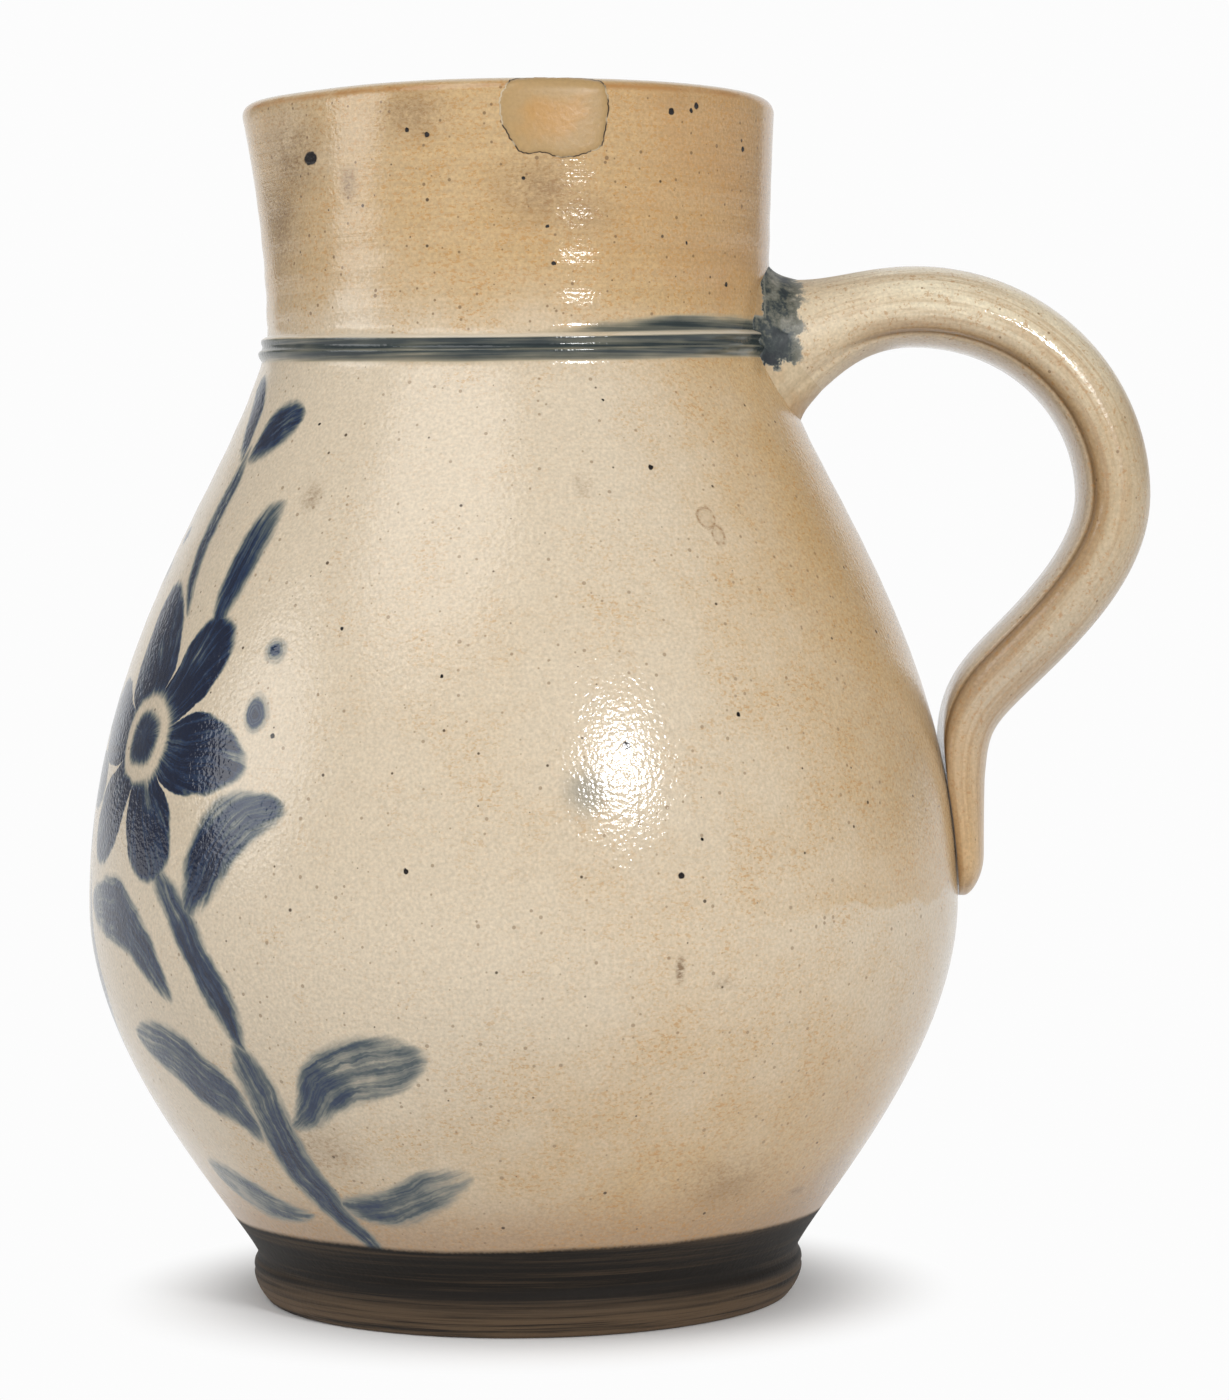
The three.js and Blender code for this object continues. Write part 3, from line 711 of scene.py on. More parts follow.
# Cobalt run round the two beads, with a smear above them towards the handle and a thumbed smudge
BAND_STREAK_SCALES = (22, 22, 1300)
BAND_PATCH_SCALES = (34, 34, 160)
BAND_FADE_BELOW = 0.0018
BAND_FADE_ABOVE = 0.0014
BAND_TOP_BARE = 0.0002
BAND_TOP_FULL = 0.0007
CREST_RUB_BELOW = 0.05
CREST_RUB_ABOVE = 0.10
CREST_RUB_FADE = 0.09
SMEAR_RISE = 0.0030
SMEAR_WAVER = 0.0030
SMEAR_FOOT = (NECK_FOOT - 0.0006, NECK_FOOT + 0.0004)
SMEAR_TOP_FADE = (-0.0012, 0.0018)
# Pale line at the top bead's crest: partly bare clay, partly a painted highlight
BARE_HIGHLIT_CREST_LOW = NECK_FOOT - 0.0008
BARE_HIGHLIT_CREST_HIGH = NECK_FOOT - 0.0001
BARE_HIGHLIT_CREST_FADE = 0.0003
SMUDGE_PLACE = (9.4, 0.1155)
SMUDGE_RADIUS = 0.0085
SMUDGE_HEART = 0.001
SMUDGE_LOAD = 0.20

level = glaze.plus(height, glaze.times(glaze.reckon("COSINE", glaze.times(turn, 2)), BEAD_SAG))
band_streaks = glaze.noise(glaze.stretched(glaze.place, *BAND_STREAK_SCALES), 1, 3, 0.6)
in_band = glaze.times(
    on_outer_face,
    glaze.rise(level, COLLAR_HEIGHT - BAND_FADE_BELOW, COLLAR_HEIGHT + BAND_FADE_ABOVE),
    glaze.rise(level, NECK_FOOT - BAND_TOP_BARE, NECK_FOOT - BAND_TOP_FULL),
)
bead_share = glaze.reckon("FRACT", glaze.reckon("DIVIDE", glaze.plus(level, -COLLAR_HEIGHT), BEAD_HEIGHT))
crests = glaze.between(bead_share, BEAD_CREST - CREST_RUB_BELOW, BEAD_CREST + CREST_RUB_ABOVE, CREST_RUB_FADE)
upper_bead = glaze.rise(level, COLLAR_HEIGHT + BEAD_HEIGHT, COLLAR_HEIGHT + BEAD_HEIGHT * 1.3, 0.45, 1)
band_patches = glaze.noise(glaze.stretched(glaze.place, *BAND_PATCH_SCALES), 1, 3, 0.6)
band_thickness = glaze.plus(
    -0.16,
    glaze.times(band_streaks, 0.72),
    glaze.times(band_patches, 0.92),
    glaze.times(crests, upper_bead, -0.46),
    glaze.times(by_turn(60, 80, 0, 0.35), not_behind),
)
band_load = glaze.times(in_band, band_thickness)
smear_top = glaze.plus(
    by_turn(-10, 42, NECK_FOOT - BAND_TOP_BARE, NECK_FOOT + SMEAR_RISE),
    glaze.sway(band_patches, SMEAR_WAVER),
)
smear = glaze.times(
    on_outer_face,
    by_turn(-12, 24),
    by_turn(120, 100),
    glaze.rise(level, *SMEAR_FOOT),
    glaze.rise(glaze.reckon("SUBTRACT", smear_top, level), *SMEAR_TOP_FADE),
    glaze.plus(-0.04, glaze.times(band_streaks, 0.75), glaze.times(band_patches, 0.55)),
)
band_load = glaze.reckon("MAXIMUM", band_load, smear)
band_colour = glaze.ramp(
    band_load, (0.0, BAND_PALE), (0.22, BAND_PALE), (0.45, BAND_GREY), (0.66, BAND_TEAL), (0.92, BAND_BLACK)
)
smudge_away = glaze.measure("DISTANCE", wobbled, on_body(*SMUDGE_PLACE))
smudge = glaze.times(glaze.rise(smudge_away, SMUDGE_RADIUS, SMUDGE_HEART), SMUDGE_LOAD)
cobalt = glaze.reckon("MAXIMUM", spray_load, smudge)
cobalt_colour = glaze.ramp(
    cobalt,
    (0.0, COBALT_WASH), (0.30, COBALT_WASH), (0.46, COBALT_THIN), (0.64, COBALT_MID), (0.86, COBALT_DEEP),
)
colour = glaze.blend(glaze.rise(cobalt, 0.0, 0.34), colour, cobalt_colour)
colour = glaze.blend(glaze.rise(band_load, 0.04, 0.36), colour, band_colour)
# Pale crest line: clay bare of cobalt, with a painted highlight of light from above
bare_and_highlit_crest = glaze.times(
    on_outer_face,
    glaze.between(level, BARE_HIGHLIT_CREST_LOW, BARE_HIGHLIT_CREST_HIGH, BARE_HIGHLIT_CREST_FADE),
    glaze.rise(band_patches, 0.30, 0.50, 0.3, 0.85),
)
colour = glaze.blend(bare_and_highlit_crest, colour, PALE_CLAY_AND_PAINTED_SHEEN)

# Foot and lip: a dark wash with turned streaks, worn to brown clay at the foot's lower edge, and an orange
# line under a painted reflection of white light along the top of the lip
FOOT_WASH_TOP = 0.019
FOOT_EDGE_SWAY = 0.003
FOOT_EDGE_GRAIN = 0.0007
FOOT_EDGE_FADE = (-0.0007, 0.0006)
FOOT_STREAK_SCALES = (14, 14, 900)
FOOT_WEAR = (0.0095, 0.0010)
LIP_LINE_LOW = HEIGHT - 0.0022
LIP_LINE_HIGH = HEIGHT - 0.0012
LIP_LINE_FADE = 0.0006
# Top of the lip painted pale as a reflection of white light
PAINTED_LIP_SHEEN_LOW = HEIGHT - 0.0010
PAINTED_LIP_SHEEN_HIGH = HEIGHT - 0.0003

foot_edge = glaze.plus(FOOT_WASH_TOP, glaze.sway(clouds, FOOT_EDGE_SWAY), glaze.times(grain, FOOT_EDGE_GRAIN))
in_foot = glaze.rise(glaze.reckon("SUBTRACT", foot_edge, height), *FOOT_EDGE_FADE)
in_foot = glaze.times(on_outer_face, in_foot)
foot_streaks = glaze.noise(glaze.stretched(glaze.place, *FOOT_STREAK_SCALES), 1, 4, 0.7)
worn = glaze.times(glaze.rise(height, *FOOT_WEAR), glaze.rise(foot_streaks, 0.33, 0.55))
foot_colour = glaze.blend(glaze.rise(foot_streaks, 0.45, 0.75, 0.03, 0.4), FOOT_WASH, FOOT_WORN)
foot_colour = glaze.blend(worn, foot_colour, FOOT_WORN)
colour = glaze.blend(in_foot, colour, foot_colour)
lip_line = glaze.times(
    glaze.between(height, LIP_LINE_LOW, LIP_LINE_HIGH, LIP_LINE_FADE), glaze.rise(mottle, 0.36, 0.6, 0.2, 0.9)
)
# Painted reflection: the top of the lip made pale
colour = glaze.blend(glaze.rise(height, PAINTED_LIP_SHEEN_LOW, PAINTED_LIP_SHEEN_HIGH, 0, 0.7), colour, PALE_CLAY_AND_PAINTED_SHEEN)
colour = glaze.blend(lip_line, colour, RUST)

# Surface of the glaze: glossy, drier low down and on the foot, with orange peel and turning lines
GLOSS = 0.09
MOTTLE_DULLING = 0.10
FOOT_DULLING = 0.36
LOW_DULLING = 0.16
LOW_DULL_RISE = (0.036, 0.02)
COBALT_GLOSS = -0.04
PEEL_DEPTH = 0.00012
NECK_PEEL_SHARE = 0.6
NECK_PEEL_FADE = 0.01
RING_DEPTH = 0.00004

sheen = glaze.blend(in_foot, GLAZE_SHEEN, FOOT_SHEEN)
roughness = glaze.plus(
    GLOSS,
    glaze.times(mottle, MOTTLE_DULLING),
    glaze.times(in_foot, FOOT_DULLING),
    glaze.rise(height, *LOW_DULL_RISE, 0, LOW_DULLING),
    glaze.times(cobalt, COBALT_GLOSS),
)
peel = glaze.noise(glaze.place, PEEL_SCALE, 1.5, 0.5)
peel_share = glaze.rise(height, COLLAR_HEIGHT - NECK_PEEL_FADE, NECK_FOOT, 1, NECK_PEEL_SHARE)
peel_normal = glaze.relief(glaze.times(peel, peel_share), PEEL_DEPTH)
turning = glaze.times(rings, glaze.plus(RINGS_ON_BELLY, neck_zone))
glaze.coat(body, {
    "Base Color": colour,
    "Specular Tint": sheen,
    "Roughness": roughness,
    "Normal": glaze.relief(turning, RING_DEPTH, peel_normal),
})
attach(body, "root")
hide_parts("body")

# Handle: a strap of clay pulled by wet hands, bent into an ear from the collar to the belly's widest
# point, with a crowned outside, a crease along each inner edge and a flattened, thumbed tail.
ROOT_SINK = 0.0052
ROOT_RISE = 0.0035
ROOT_RUN = 0.012
CREST_OUT = 0.0313
CREST_RISE = 0.0118
CREST_ROUND_IN = 0.015
CREST_ROUND_OUT = 0.025
REACH_PAST_BELLY = 0.0348
REACH_DROP = 0.0295
REACH_ROUND_UP = 0.022
REACH_ROUND_DOWN = 0.0185
ELBOW_RISE = 0.041
ELBOW_STAND = 0.0069
ELBOW_RUN_OUT = 0.0115
ELBOW_RUN_UP = 0.012
TAIL_BEND_IN = 0.004
TAIL_BEND_DOWN = 0.006
TAIL_RUN = 0.017
TAIL_STAND = 0.0015
# Widths and thicknesses at the root, crest, reach, elbow and tail
STRAP_WIDTHS = (0.032, 0.032, 0.030, 0.028, 0.029)
STRAP_THICKNESSES = (0.0176, 0.0176, 0.0158, 0.015, 0.0085)
ROOT_FLARE_THICK = 0.028
ROOT_FLARE_WIDE = 0.009
ROOT_FLARE_POWER = 3
TAIL_ROUNDING = 0.009
CREASE_DEPTH = 0.0008
CREASE_SHARE = 0.68
CREASE_SPREAD = 0.06
EDGE_ROUNDNESS = 0.76
OUTER_ROUNDNESS = 1.12
INNER_ROUNDNESS = 0.83
STRAP_SIDES = 120
LEG_STEPS = 40
ROOT_STEPS = 10
STRAP_STEPS = 110
TAIL_STEPS = 12
TAIL_STOP_SHORT = 0.35
ROOT_CLEAR_RUN = 0.017
ROOT_BURY = 0.002
ROOT_HALVINGS = 30
BED_THICKNESS = 0.0003
ELBOW_EASE = 0.016
ELBOW_PASSES = 40

root = Vector((NECK_RADIUS - ROOT_SINK, COLLAR_HEIGHT + ROOT_RISE))
crest = Vector((NECK_RADIUS + CREST_OUT, COLLAR_HEIGHT + CREST_RISE))
reach = Vector((BELLY_RADIUS + REACH_PAST_BELLY, COLLAR_HEIGHT - REACH_DROP))
elbow_height = BELLY_HEIGHT + ELBOW_RISE
elbow = Vector((outer_radius(elbow_height) + ELBOW_STAND, elbow_height))
tail = Vector((BELLY_RADIUS + TAIL_STAND, BELLY_HEIGHT))
strap_legs = (
    (root, root + Vector((ROOT_RUN, 0)), crest - Vector((CREST_ROUND_IN, 0)), crest),
    (crest, crest + Vector((CREST_ROUND_OUT, 0)), reach + Vector((0, REACH_ROUND_UP)), reach),
    (reach, reach - Vector((0, REACH_ROUND_DOWN)), elbow + Vector((ELBOW_RUN_OUT, ELBOW_RUN_UP)), elbow),
    (elbow, elbow - Vector((TAIL_BEND_IN, TAIL_BEND_DOWN)), tail + Vector((0, TAIL_RUN)), tail),
)
strap_line = [root]
strap_runs = [0.0]
strap_marks = []
for leg in strap_legs:
    for point in bend_points(LEG_STEPS, *leg)[1:]:
        strap_runs.append(strap_runs[-1] + (point - strap_line[-1]).length)
        strap_line.append(point)
    strap_marks.append(strap_runs[-1])
strap_length = strap_marks[-1]


def strap_middle(run):
    """Point of the handle's middle line at a run along it, and the way it heads there."""
    after = next((i for i, mark in enumerate(strap_runs) if mark >= run), len(strap_runs) - 1)
    after = max(after, 1)
    low, high = strap_line[after - 1], strap_line[after]
    share = (run - strap_runs[after - 1]) / (strap_runs[after] - strap_runs[after - 1])
    before_way = high - strap_line[max(after - 2, 0)]
    after_way = strap_line[min(after + 1, len(strap_line) - 1)] - low
    return low.lerp(high, share), before_way.lerp(after_way, share).normalized()


def along_strap(run, values):
    """Value eased between those at the root, crest, reach, elbow and tail."""
    leg = next((i for i, mark in enumerate(strap_marks) if run <= mark), len(strap_marks) - 1)
    start = strap_marks[leg - 1] if leg else 0
    return values[leg] + (values[leg + 1] - values[leg]) * ease(run, start, strap_marks[leg])


def strap_section(run, side, grow=0.0):
    """Place across and out of the middle line at a run and a turn round the section."""
    to_root = min(max(1 - run / strap_marks[0], 0), 1) ** ROOT_FLARE_POWER
    past_round = min(max((run - strap_length + TAIL_ROUNDING) / TAIL_ROUNDING, 0), 1)
    rounding = math.sqrt(1 - past_round**2)
    half_width = (along_strap(run, STRAP_WIDTHS) + ROOT_FLARE_WIDE * to_root) / 2 * rounding + grow
    thickness = along_strap(run, STRAP_THICKNESSES) + ROOT_FLARE_THICK * to_root
    half_thickness = thickness / 2 * (1 + rounding) / 2 + grow
    across = math.copysign(abs(math.cos(side)) ** EDGE_ROUNDNESS, math.cos(side))
    roundness = OUTER_ROUNDNESS if math.sin(side) > 0 else INNER_ROUNDNESS
    out = math.copysign(abs(math.sin(side)) ** roundness, math.sin(side))
    if out > 0:
        out *= rounding
    crease = CREASE_DEPTH * rounding * math.exp(-(((out + CREASE_SHARE) / CREASE_SPREAD) ** 2))
    return across * half_width - math.copysign(crease, across), out * half_thickness


def strap_point(run, side, grow=0.0):
    """Point of the handle's surface at a run and a turn round the section."""
    middle, way = strap_middle(run)
    across, out = strap_section(run, side, grow)
    return Vector((middle.x - way.y * out, across, middle.y + way.x * out))


def stands_off(point):
    """How far a point stands off the body's outside."""
    return math.hypot(point.x, point.y) - outer_radius(point.z)


def root_run(side, stand):
    """Run at which a line of the strap comes out to a given distance off the body."""
    low, high = 0.0, ROOT_CLEAR_RUN
    for _ in range(ROOT_HALVINGS):
        middle = (low + high) / 2
        if stands_off(strap_point(middle, side)) < stand:
            low = middle
        else:
            high = middle
    return low


def pressed_on(point, stand):
    """A point of the tail, moved outwards where it would lie closer to the body than its bed."""
    short = stand - stands_off(point)
    if short <= 0 or point.z > COLLAR_HEIGHT - SHOULDER_LIFT:
        return point
    share = 1 + short / math.hypot(point.x, point.y)
    return Vector((point.x * share, point.y * share, point.z))


def next_ring(mesh, ring):
    """Extrudes a closed ring of vertices and returns the new ring in the same order."""
    edges = [mesh.edges.get((ring[i - 1], ring[i])) for i in range(len(ring))]
    made = bmesh.ops.extrude_edge_only(mesh, edges=edges)
    grown = {vert for vert in made["geom"] if isinstance(vert, bmesh.types.BMVert)}
    after = []
    for vert in ring:
        beside = [edge.other_vert(vert) for edge in vert.link_edges]
        after.append(next(other for other in beside if other in grown))
    return after


sides = [2 * math.pi * i / STRAP_SIDES for i in range(STRAP_SIDES)]
root_runs = [root_run(side, -ROOT_BURY) for side in sides]
stations = []
for step in range(ROOT_STEPS):
    share = step / ROOT_STEPS
    stations.append([start + (ROOT_CLEAR_RUN - start) * share for start in root_runs])
round_start = strap_length - TAIL_ROUNDING
for step in range(STRAP_STEPS + 1):
    stations.append([ROOT_CLEAR_RUN + (round_start - ROOT_CLEAR_RUN) * step / STRAP_STEPS] * STRAP_SIDES)
for step in range(1, TAIL_STEPS + 1):
    past = math.sin(step / (TAIL_STEPS + TAIL_STOP_SHORT) * math.pi / 2)
    stations.append([round_start + TAIL_ROUNDING * past] * STRAP_SIDES)

surface = []
for runs in stations:
    surface.append([pressed_on(strap_point(run, side), BED_THICKNESS) for side, run in zip(sides, runs)])
at_elbow = [i for i, runs in enumerate(stations) if abs(runs[0] - strap_marks[2]) < ELBOW_EASE]
for _ in range(ELBOW_PASSES):
    eased = {}
    for i in at_elbow:
        beside = [low.lerp(high, 0.5) for low, high in zip(surface[i - 1], surface[i + 1])]
        eased[i] = [point.lerp(middle, 0.5) for point, middle in zip(surface[i], beside)]
    for i in at_elbow:
        surface[i] = eased[i]

mesh = bmesh.new()
strap_place = mesh.verts.layers.float_vector.new("strap_place")
ring = bmesh.ops.create_circle(mesh, segments=STRAP_SIDES, radius=BELLY_RADIUS)["verts"]
for number, runs in enumerate(stations):
    if number:
        ring = next_ring(mesh, ring)
    for vert, side, run, point in zip(ring, sides, runs, surface[number]):
        vert.co = point
        across, out = strap_section(run, side)
        reach_share = STRAP_THICKNESSES[2] / along_strap(run, STRAP_THICKNESSES)
        vert[strap_place] = (across, out * reach_share, run)
bmesh.ops.holes_fill(mesh, edges=[edge for edge in mesh.edges if edge.is_boundary], sides=0)
bmesh.ops.recalc_face_normals(mesh, faces=mesh.faces)
handle = finished("strap_handle", mesh)

# Glaze of the strap: pale at the crest, streaked along the pull, with painted shade towards its inner side
# and a dark line of painted shade in each crease, and a painted reflection on its inner face. Distances out
# of its middle line are scaled as if it were everywhere as thick as at its reach.
HANDLE_ROOT = (0.58, 0.45, 0.29)
HANDLE_CREST = (0.74, 0.655, 0.485)
HANDLE_REACH = (0.51, 0.40, 0.255)
HANDLE_ELBOW = (0.50, 0.415, 0.305)
HANDLE_TAIL = (0.57, 0.39, 0.205)
HANDLE_STREAK = (0.36, 0.205, 0.085)
# Painted shade for the strap's inner side, which turns away from the light
HANDLE_INNER_SHADE = (0.34, 0.215, 0.105)
# Painted reflection of white light on the strap's inner face
HANDLE_INNER_REFLECTION = (0.66, 0.58, 0.46)
# Painted shade in the creases
HANDLE_CREASE_SHADE = (0.13, 0.075, 0.035)
STRAP_CLOUD_SCALE = 30
STRAP_FRECKLE_SCALE = 800
STRAP_SPECKS = (480, 0.22, 0.5)
STRAP_DARKEST = 0.76
PULL_SCALES = (330, 330, 16)
FINE_PULL_SCALES = (900, 900, 26)
CLOUDS_ALONG = 0.30
PLAIN_ROOT_RUN = (0.014, 0.034)
INNER_SHADE_SPAN = (-0.0012, -0.0050)
INNER_SHADE_SWAY = 0.003
CREASE_SHADE_LOW = -0.0056
CREASE_SHADE_HIGH = -0.0051
CREASE_SHADE_FADE = 0.0004
INNER_REFLECTION_SPAN = (-0.0056, -0.0064)

strap_glaze = Finish("salt_glaze_on_strap")
strap = strap_glaze.node("Attribute", attribute_name="strap_place").outputs["Vector"]
_, out, run = strap_glaze.parts(strap)
clouds = strap_glaze.noise(strap_glaze.place, STRAP_CLOUD_SCALE, 3)
grain = strap_glaze.noise(strap_glaze.place, GRAIN_SCALE, 2)
pulls = strap_glaze.noise(strap_glaze.stretched(strap, *PULL_SCALES), 1, 4, 0.6)
fine_pulls = strap_glaze.noise(strap_glaze.stretched(strap, *FINE_PULL_SCALES), 1, 3, 0.6)
share_of_run = strap_glaze.reckon("DIVIDE", run, strap_length)
colour = strap_glaze.ramp(
    strap_glaze.plus(share_of_run, strap_glaze.sway(clouds, CLOUDS_ALONG)),
    (0.0, HANDLE_ROOT), (0.22, HANDLE_CREST), (0.46, HANDLE_REACH), (0.72, HANDLE_ELBOW), (0.95, HANDLE_TAIL),
)
past_root = strap_glaze.rise(run, *PLAIN_ROOT_RUN, 0.15, 1)
streak = strap_glaze.times(strap_glaze.rise(pulls, 0.48, 0.66), past_root, 0.45)
colour = strap_glaze.blend(streak, colour, HANDLE_STREAK)
colour = strap_glaze.blend(strap_glaze.rise(fine_pulls, 0.50, 0.72, 0, 0.38), colour, HANDLE_STREAK)
# Painted shade: the strap darkens towards its inner side
to_inside = strap_glaze.plus(out, strap_glaze.sway(clouds, INNER_SHADE_SWAY))
inner_shade = strap_glaze.times(past_root, strap_glaze.rise(to_inside, *INNER_SHADE_SPAN, 0, 0.72))
colour = strap_glaze.blend(inner_shade, colour, HANDLE_INNER_SHADE)
# Painted shade: a dark line in each crease
crease_shade = strap_glaze.times(past_root, strap_glaze.between(out, CREASE_SHADE_LOW, CREASE_SHADE_HIGH, CREASE_SHADE_FADE))
# Painted reflection: a pale strip of white light along the inner face
inner_reflection = strap_glaze.times(past_root, strap_glaze.rise(out, *INNER_REFLECTION_SPAN, 0, 0.8))
colour = strap_glaze.blend(inner_reflection, colour, HANDLE_INNER_REFLECTION)
colour = strap_glaze.blend(strap_glaze.times(crease_shade, 0.7), colour, HANDLE_CREASE_SHADE)
shade = strap_glaze.plus(STRAP_DARKEST, strap_glaze.times(grain, GRAIN_SPAN))
colour = strap_glaze.shaded(colour, shade)
freckle_grain = strap_glaze.noise(strap_glaze.place, STRAP_FRECKLE_SCALE, 2, 0.8)
colour = strap_glaze.blend(strap_glaze.rise(freckle_grain, 0.55, 0.70, 0, 0.55), colour, RUST)
specks = strap_glaze.dots(*STRAP_SPECKS)
colour = strap_glaze.blend(strap_glaze.times(specks, 0.75), colour, BROWN_SPECK)

# End of the cobalt band on the handle's root, from the neck outwards and down to a pool
WASH_START = 0.0532
WASH_END = 0.0606
WASH_FOOT = 0.2020
WASH_POOL_TOP = 0.2070
WASH_CLOUD_SCALE = 230
JOINT_HALF = 0.0003
JOINT_FADE = 0.0004
JOINT_SWAY = 0.0012


def with_root_wash(finish, under):
    """Colour with the end of the cobalt band over it, thin on the root and pooled below."""
    east, _, up = finish.parts(finish.place)
    cloudy = finish.rise(finish.noise(finish.place, WASH_CLOUD_SCALE, 4, 0.7), 0.30, 0.70)

    def edge(value, sway, at, bare, full):
        """Rise from bare to full at distances from a place, along an edge that sways with the clouds."""
        if sway:
            value = finish.plus(value, finish.sway(cloudy, sway))
        return finish.rise(value, at + bare, at + full)

    def clouded(least, span):
        """Load of cobalt, more where it is cloudy."""
        return finish.plus(least, finish.times(cloudy, span))

    past_neck = finish.reckon(
        "MAXIMUM",
        edge(east, 0, WASH_START, -0.0005, 0.0005),
        edge(up, 0, NECK_FOOT, 0.0046, 0.0030),
    )
    thin = finish.times(
        past_neck,
        edge(east, 0.004, WASH_END, 0.0022, -0.0012),
        edge(up, 0.0035, WASH_FOOT, -0.001, 0.0015),
        clouded(0.34, 0.56),
    )
    pool = finish.times(
        edge(up, 0.0035, WASH_FOOT, -0.0008, 0.0010),
        edge(up, 0.005, WASH_POOL_TOP, 0.0022, -0.0022),
        edge(east, 0.006, WASH_END, 0.0016, -0.0040),
        clouded(0.68, 0.42),
    )
    strayed = finish.plus(east, finish.sway(cloudy, JOINT_SWAY))
    joint = finish.times(
        finish.between(strayed, WASH_START - JOINT_HALF, WASH_START + JOINT_HALF, JOINT_FADE),
        edge(up, 0, WASH_FOOT, 0, 0.002),
        clouded(0.20, 0.8),
    )
    beside_neck = finish.times(
        edge(east, 0, WASH_START, 0.0024, -0.0010),
        edge(up, 0.003, NECK_FOOT, 0.0044, 0.0020),
        edge(up, 0.002, WASH_FOOT, -0.0008, 0.0010),
        clouded(0.44, 0.50),
    )
    load = thin
    for part in (pool, joint, beside_neck):
        load = finish.reckon("MAXIMUM", load, part)
    wash = finish.ramp(
        load,
        (0.0, COBALT_WASH), (0.34, COBALT_WASH), (0.56, BAND_GREY), (0.74, BAND_TEAL), (0.95, BAND_BLACK),
    )
    return finish.blend(finish.rise(load, 0.10, 0.44), under, wash)


# Surface of the strap: dull near the root, glossy at the crest, drier outside below it
DRY_RUN = (0.066, 0.079)
DRY_SIDE = (-0.0042, -0.001)
DRYNESS = 0.20
DULL_ROOT_RUN = (0.037, 0.025)
CREST_GLOSS = 0.04
ROOT_DULLNESS = 0.42
STRAP_CLOUD_DULLING = 0.08
STRAP_PEEL_DEPTH = 0.00007
PULL_DEPTH = 0.00018

colour = with_root_wash(strap_glaze, colour)
dry_side = strap_glaze.times(strap_glaze.rise(run, *DRY_RUN), strap_glaze.rise(out, *DRY_SIDE), DRYNESS)
dull_root = strap_glaze.rise(run, *DULL_ROOT_RUN, CREST_GLOSS, ROOT_DULLNESS)
peel = strap_glaze.noise(strap_glaze.place, PEEL_SCALE, 1.5, 0.5)
strap_glaze.coat(handle, {
    "Base Color": colour,
    "Roughness": strap_glaze.plus(strap_glaze.times(clouds, STRAP_CLOUD_DULLING), dry_side, dull_root),
    "Normal": strap_glaze.relief(pulls, PULL_DEPTH, strap_glaze.relief(peel, STRAP_PEEL_DEPTH)),
})
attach(handle, "root")
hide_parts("handle")

# Upper luting slip: thick slip wiped round the handle's root while both pieces were leather-hard. It is
# thumbed into a fillet on the collar, thins out along the strap, and took the end of the cobalt band.
SLIP_REACH = 0.0075
SLIP_FOOT = 0.0021
SLIP_SKIN = 0.0005
SLIP_SINK = 0.0012
SLIP_TIP_SINK = 0.0004
SLIP_POT_SINK = 0.0003
SLIP_HOLLOW = 0.35
SLIP_UNDER_POT = 0.2
SLIP_UNDER_STRAP = 0.8
SLIP_STEPS = 10

mesh = bmesh.new()
ring = bmesh.ops.create_circle(mesh, segments=STRAP_SIDES, radius=BELLY_RADIUS)["verts"]
slip_lines = []
for side in sides:
    corner_run = root_run(side, 0.0)
    corner = strap_point(corner_run, side)
    on_strap = strap_point(corner_run + SLIP_REACH, side, -SLIP_TIP_SINK)
    skin = strap_point(corner_run + SLIP_REACH / 2, side, SLIP_SKIN)
    spread = strap_point(corner_run, side, SLIP_FOOT)
    spread_radius = (outer_radius(spread.z) - SLIP_POT_SINK) / math.hypot(spread.x, spread.y)
    on_pot = Vector((spread.x * spread_radius, spread.y * spread_radius, spread.z))
    under_pot = on_pot.lerp(corner, SLIP_UNDER_POT) - Vector((SLIP_SINK, 0, 0))
    under_strap = strap_point(corner_run + SLIP_REACH * SLIP_UNDER_STRAP, side, -SLIP_SINK)
    outer_curve = bend_points(SLIP_STEPS, on_strap, skin, corner.lerp(skin, SLIP_HOLLOW), on_pot)
    slip_lines.append(outer_curve + [under_pot, under_strap])
for number in range(len(slip_lines[0])):
    if number:
        ring = next_ring(mesh, ring)
    for vert, points in zip(ring, slip_lines):
        vert.co = points[number]
bmesh.ops.bridge_loops(mesh, edges=[edge for edge in mesh.edges if edge.is_boundary])
bmesh.ops.recalc_face_normals(mesh, faces=mesh.faces)
upper_slip = finished("upper_luting_fillet", mesh)

# The slip over the neck is painted darker, as painted shade, so that it matches the neck beside it under the
# light
SLIP_ON_NECK_PAINTED_SHADE = (0.37, 0.245, 0.12)
SLIP_CLAY = (0.58, 0.465, 0.305)
SLIP_RUST = (0.42, 0.25, 0.11)
SLIP_RUST_RISE = (0.1985, 0.1915)
SLIP_NECK_FADE = 0.001
SLIP_DARKEST = 0.72
SLIP_LUMP_SCALE = 190
SLIP_LUMP_DEPTH = 0.0002
FINE_GRAIN_SCALE = 1300

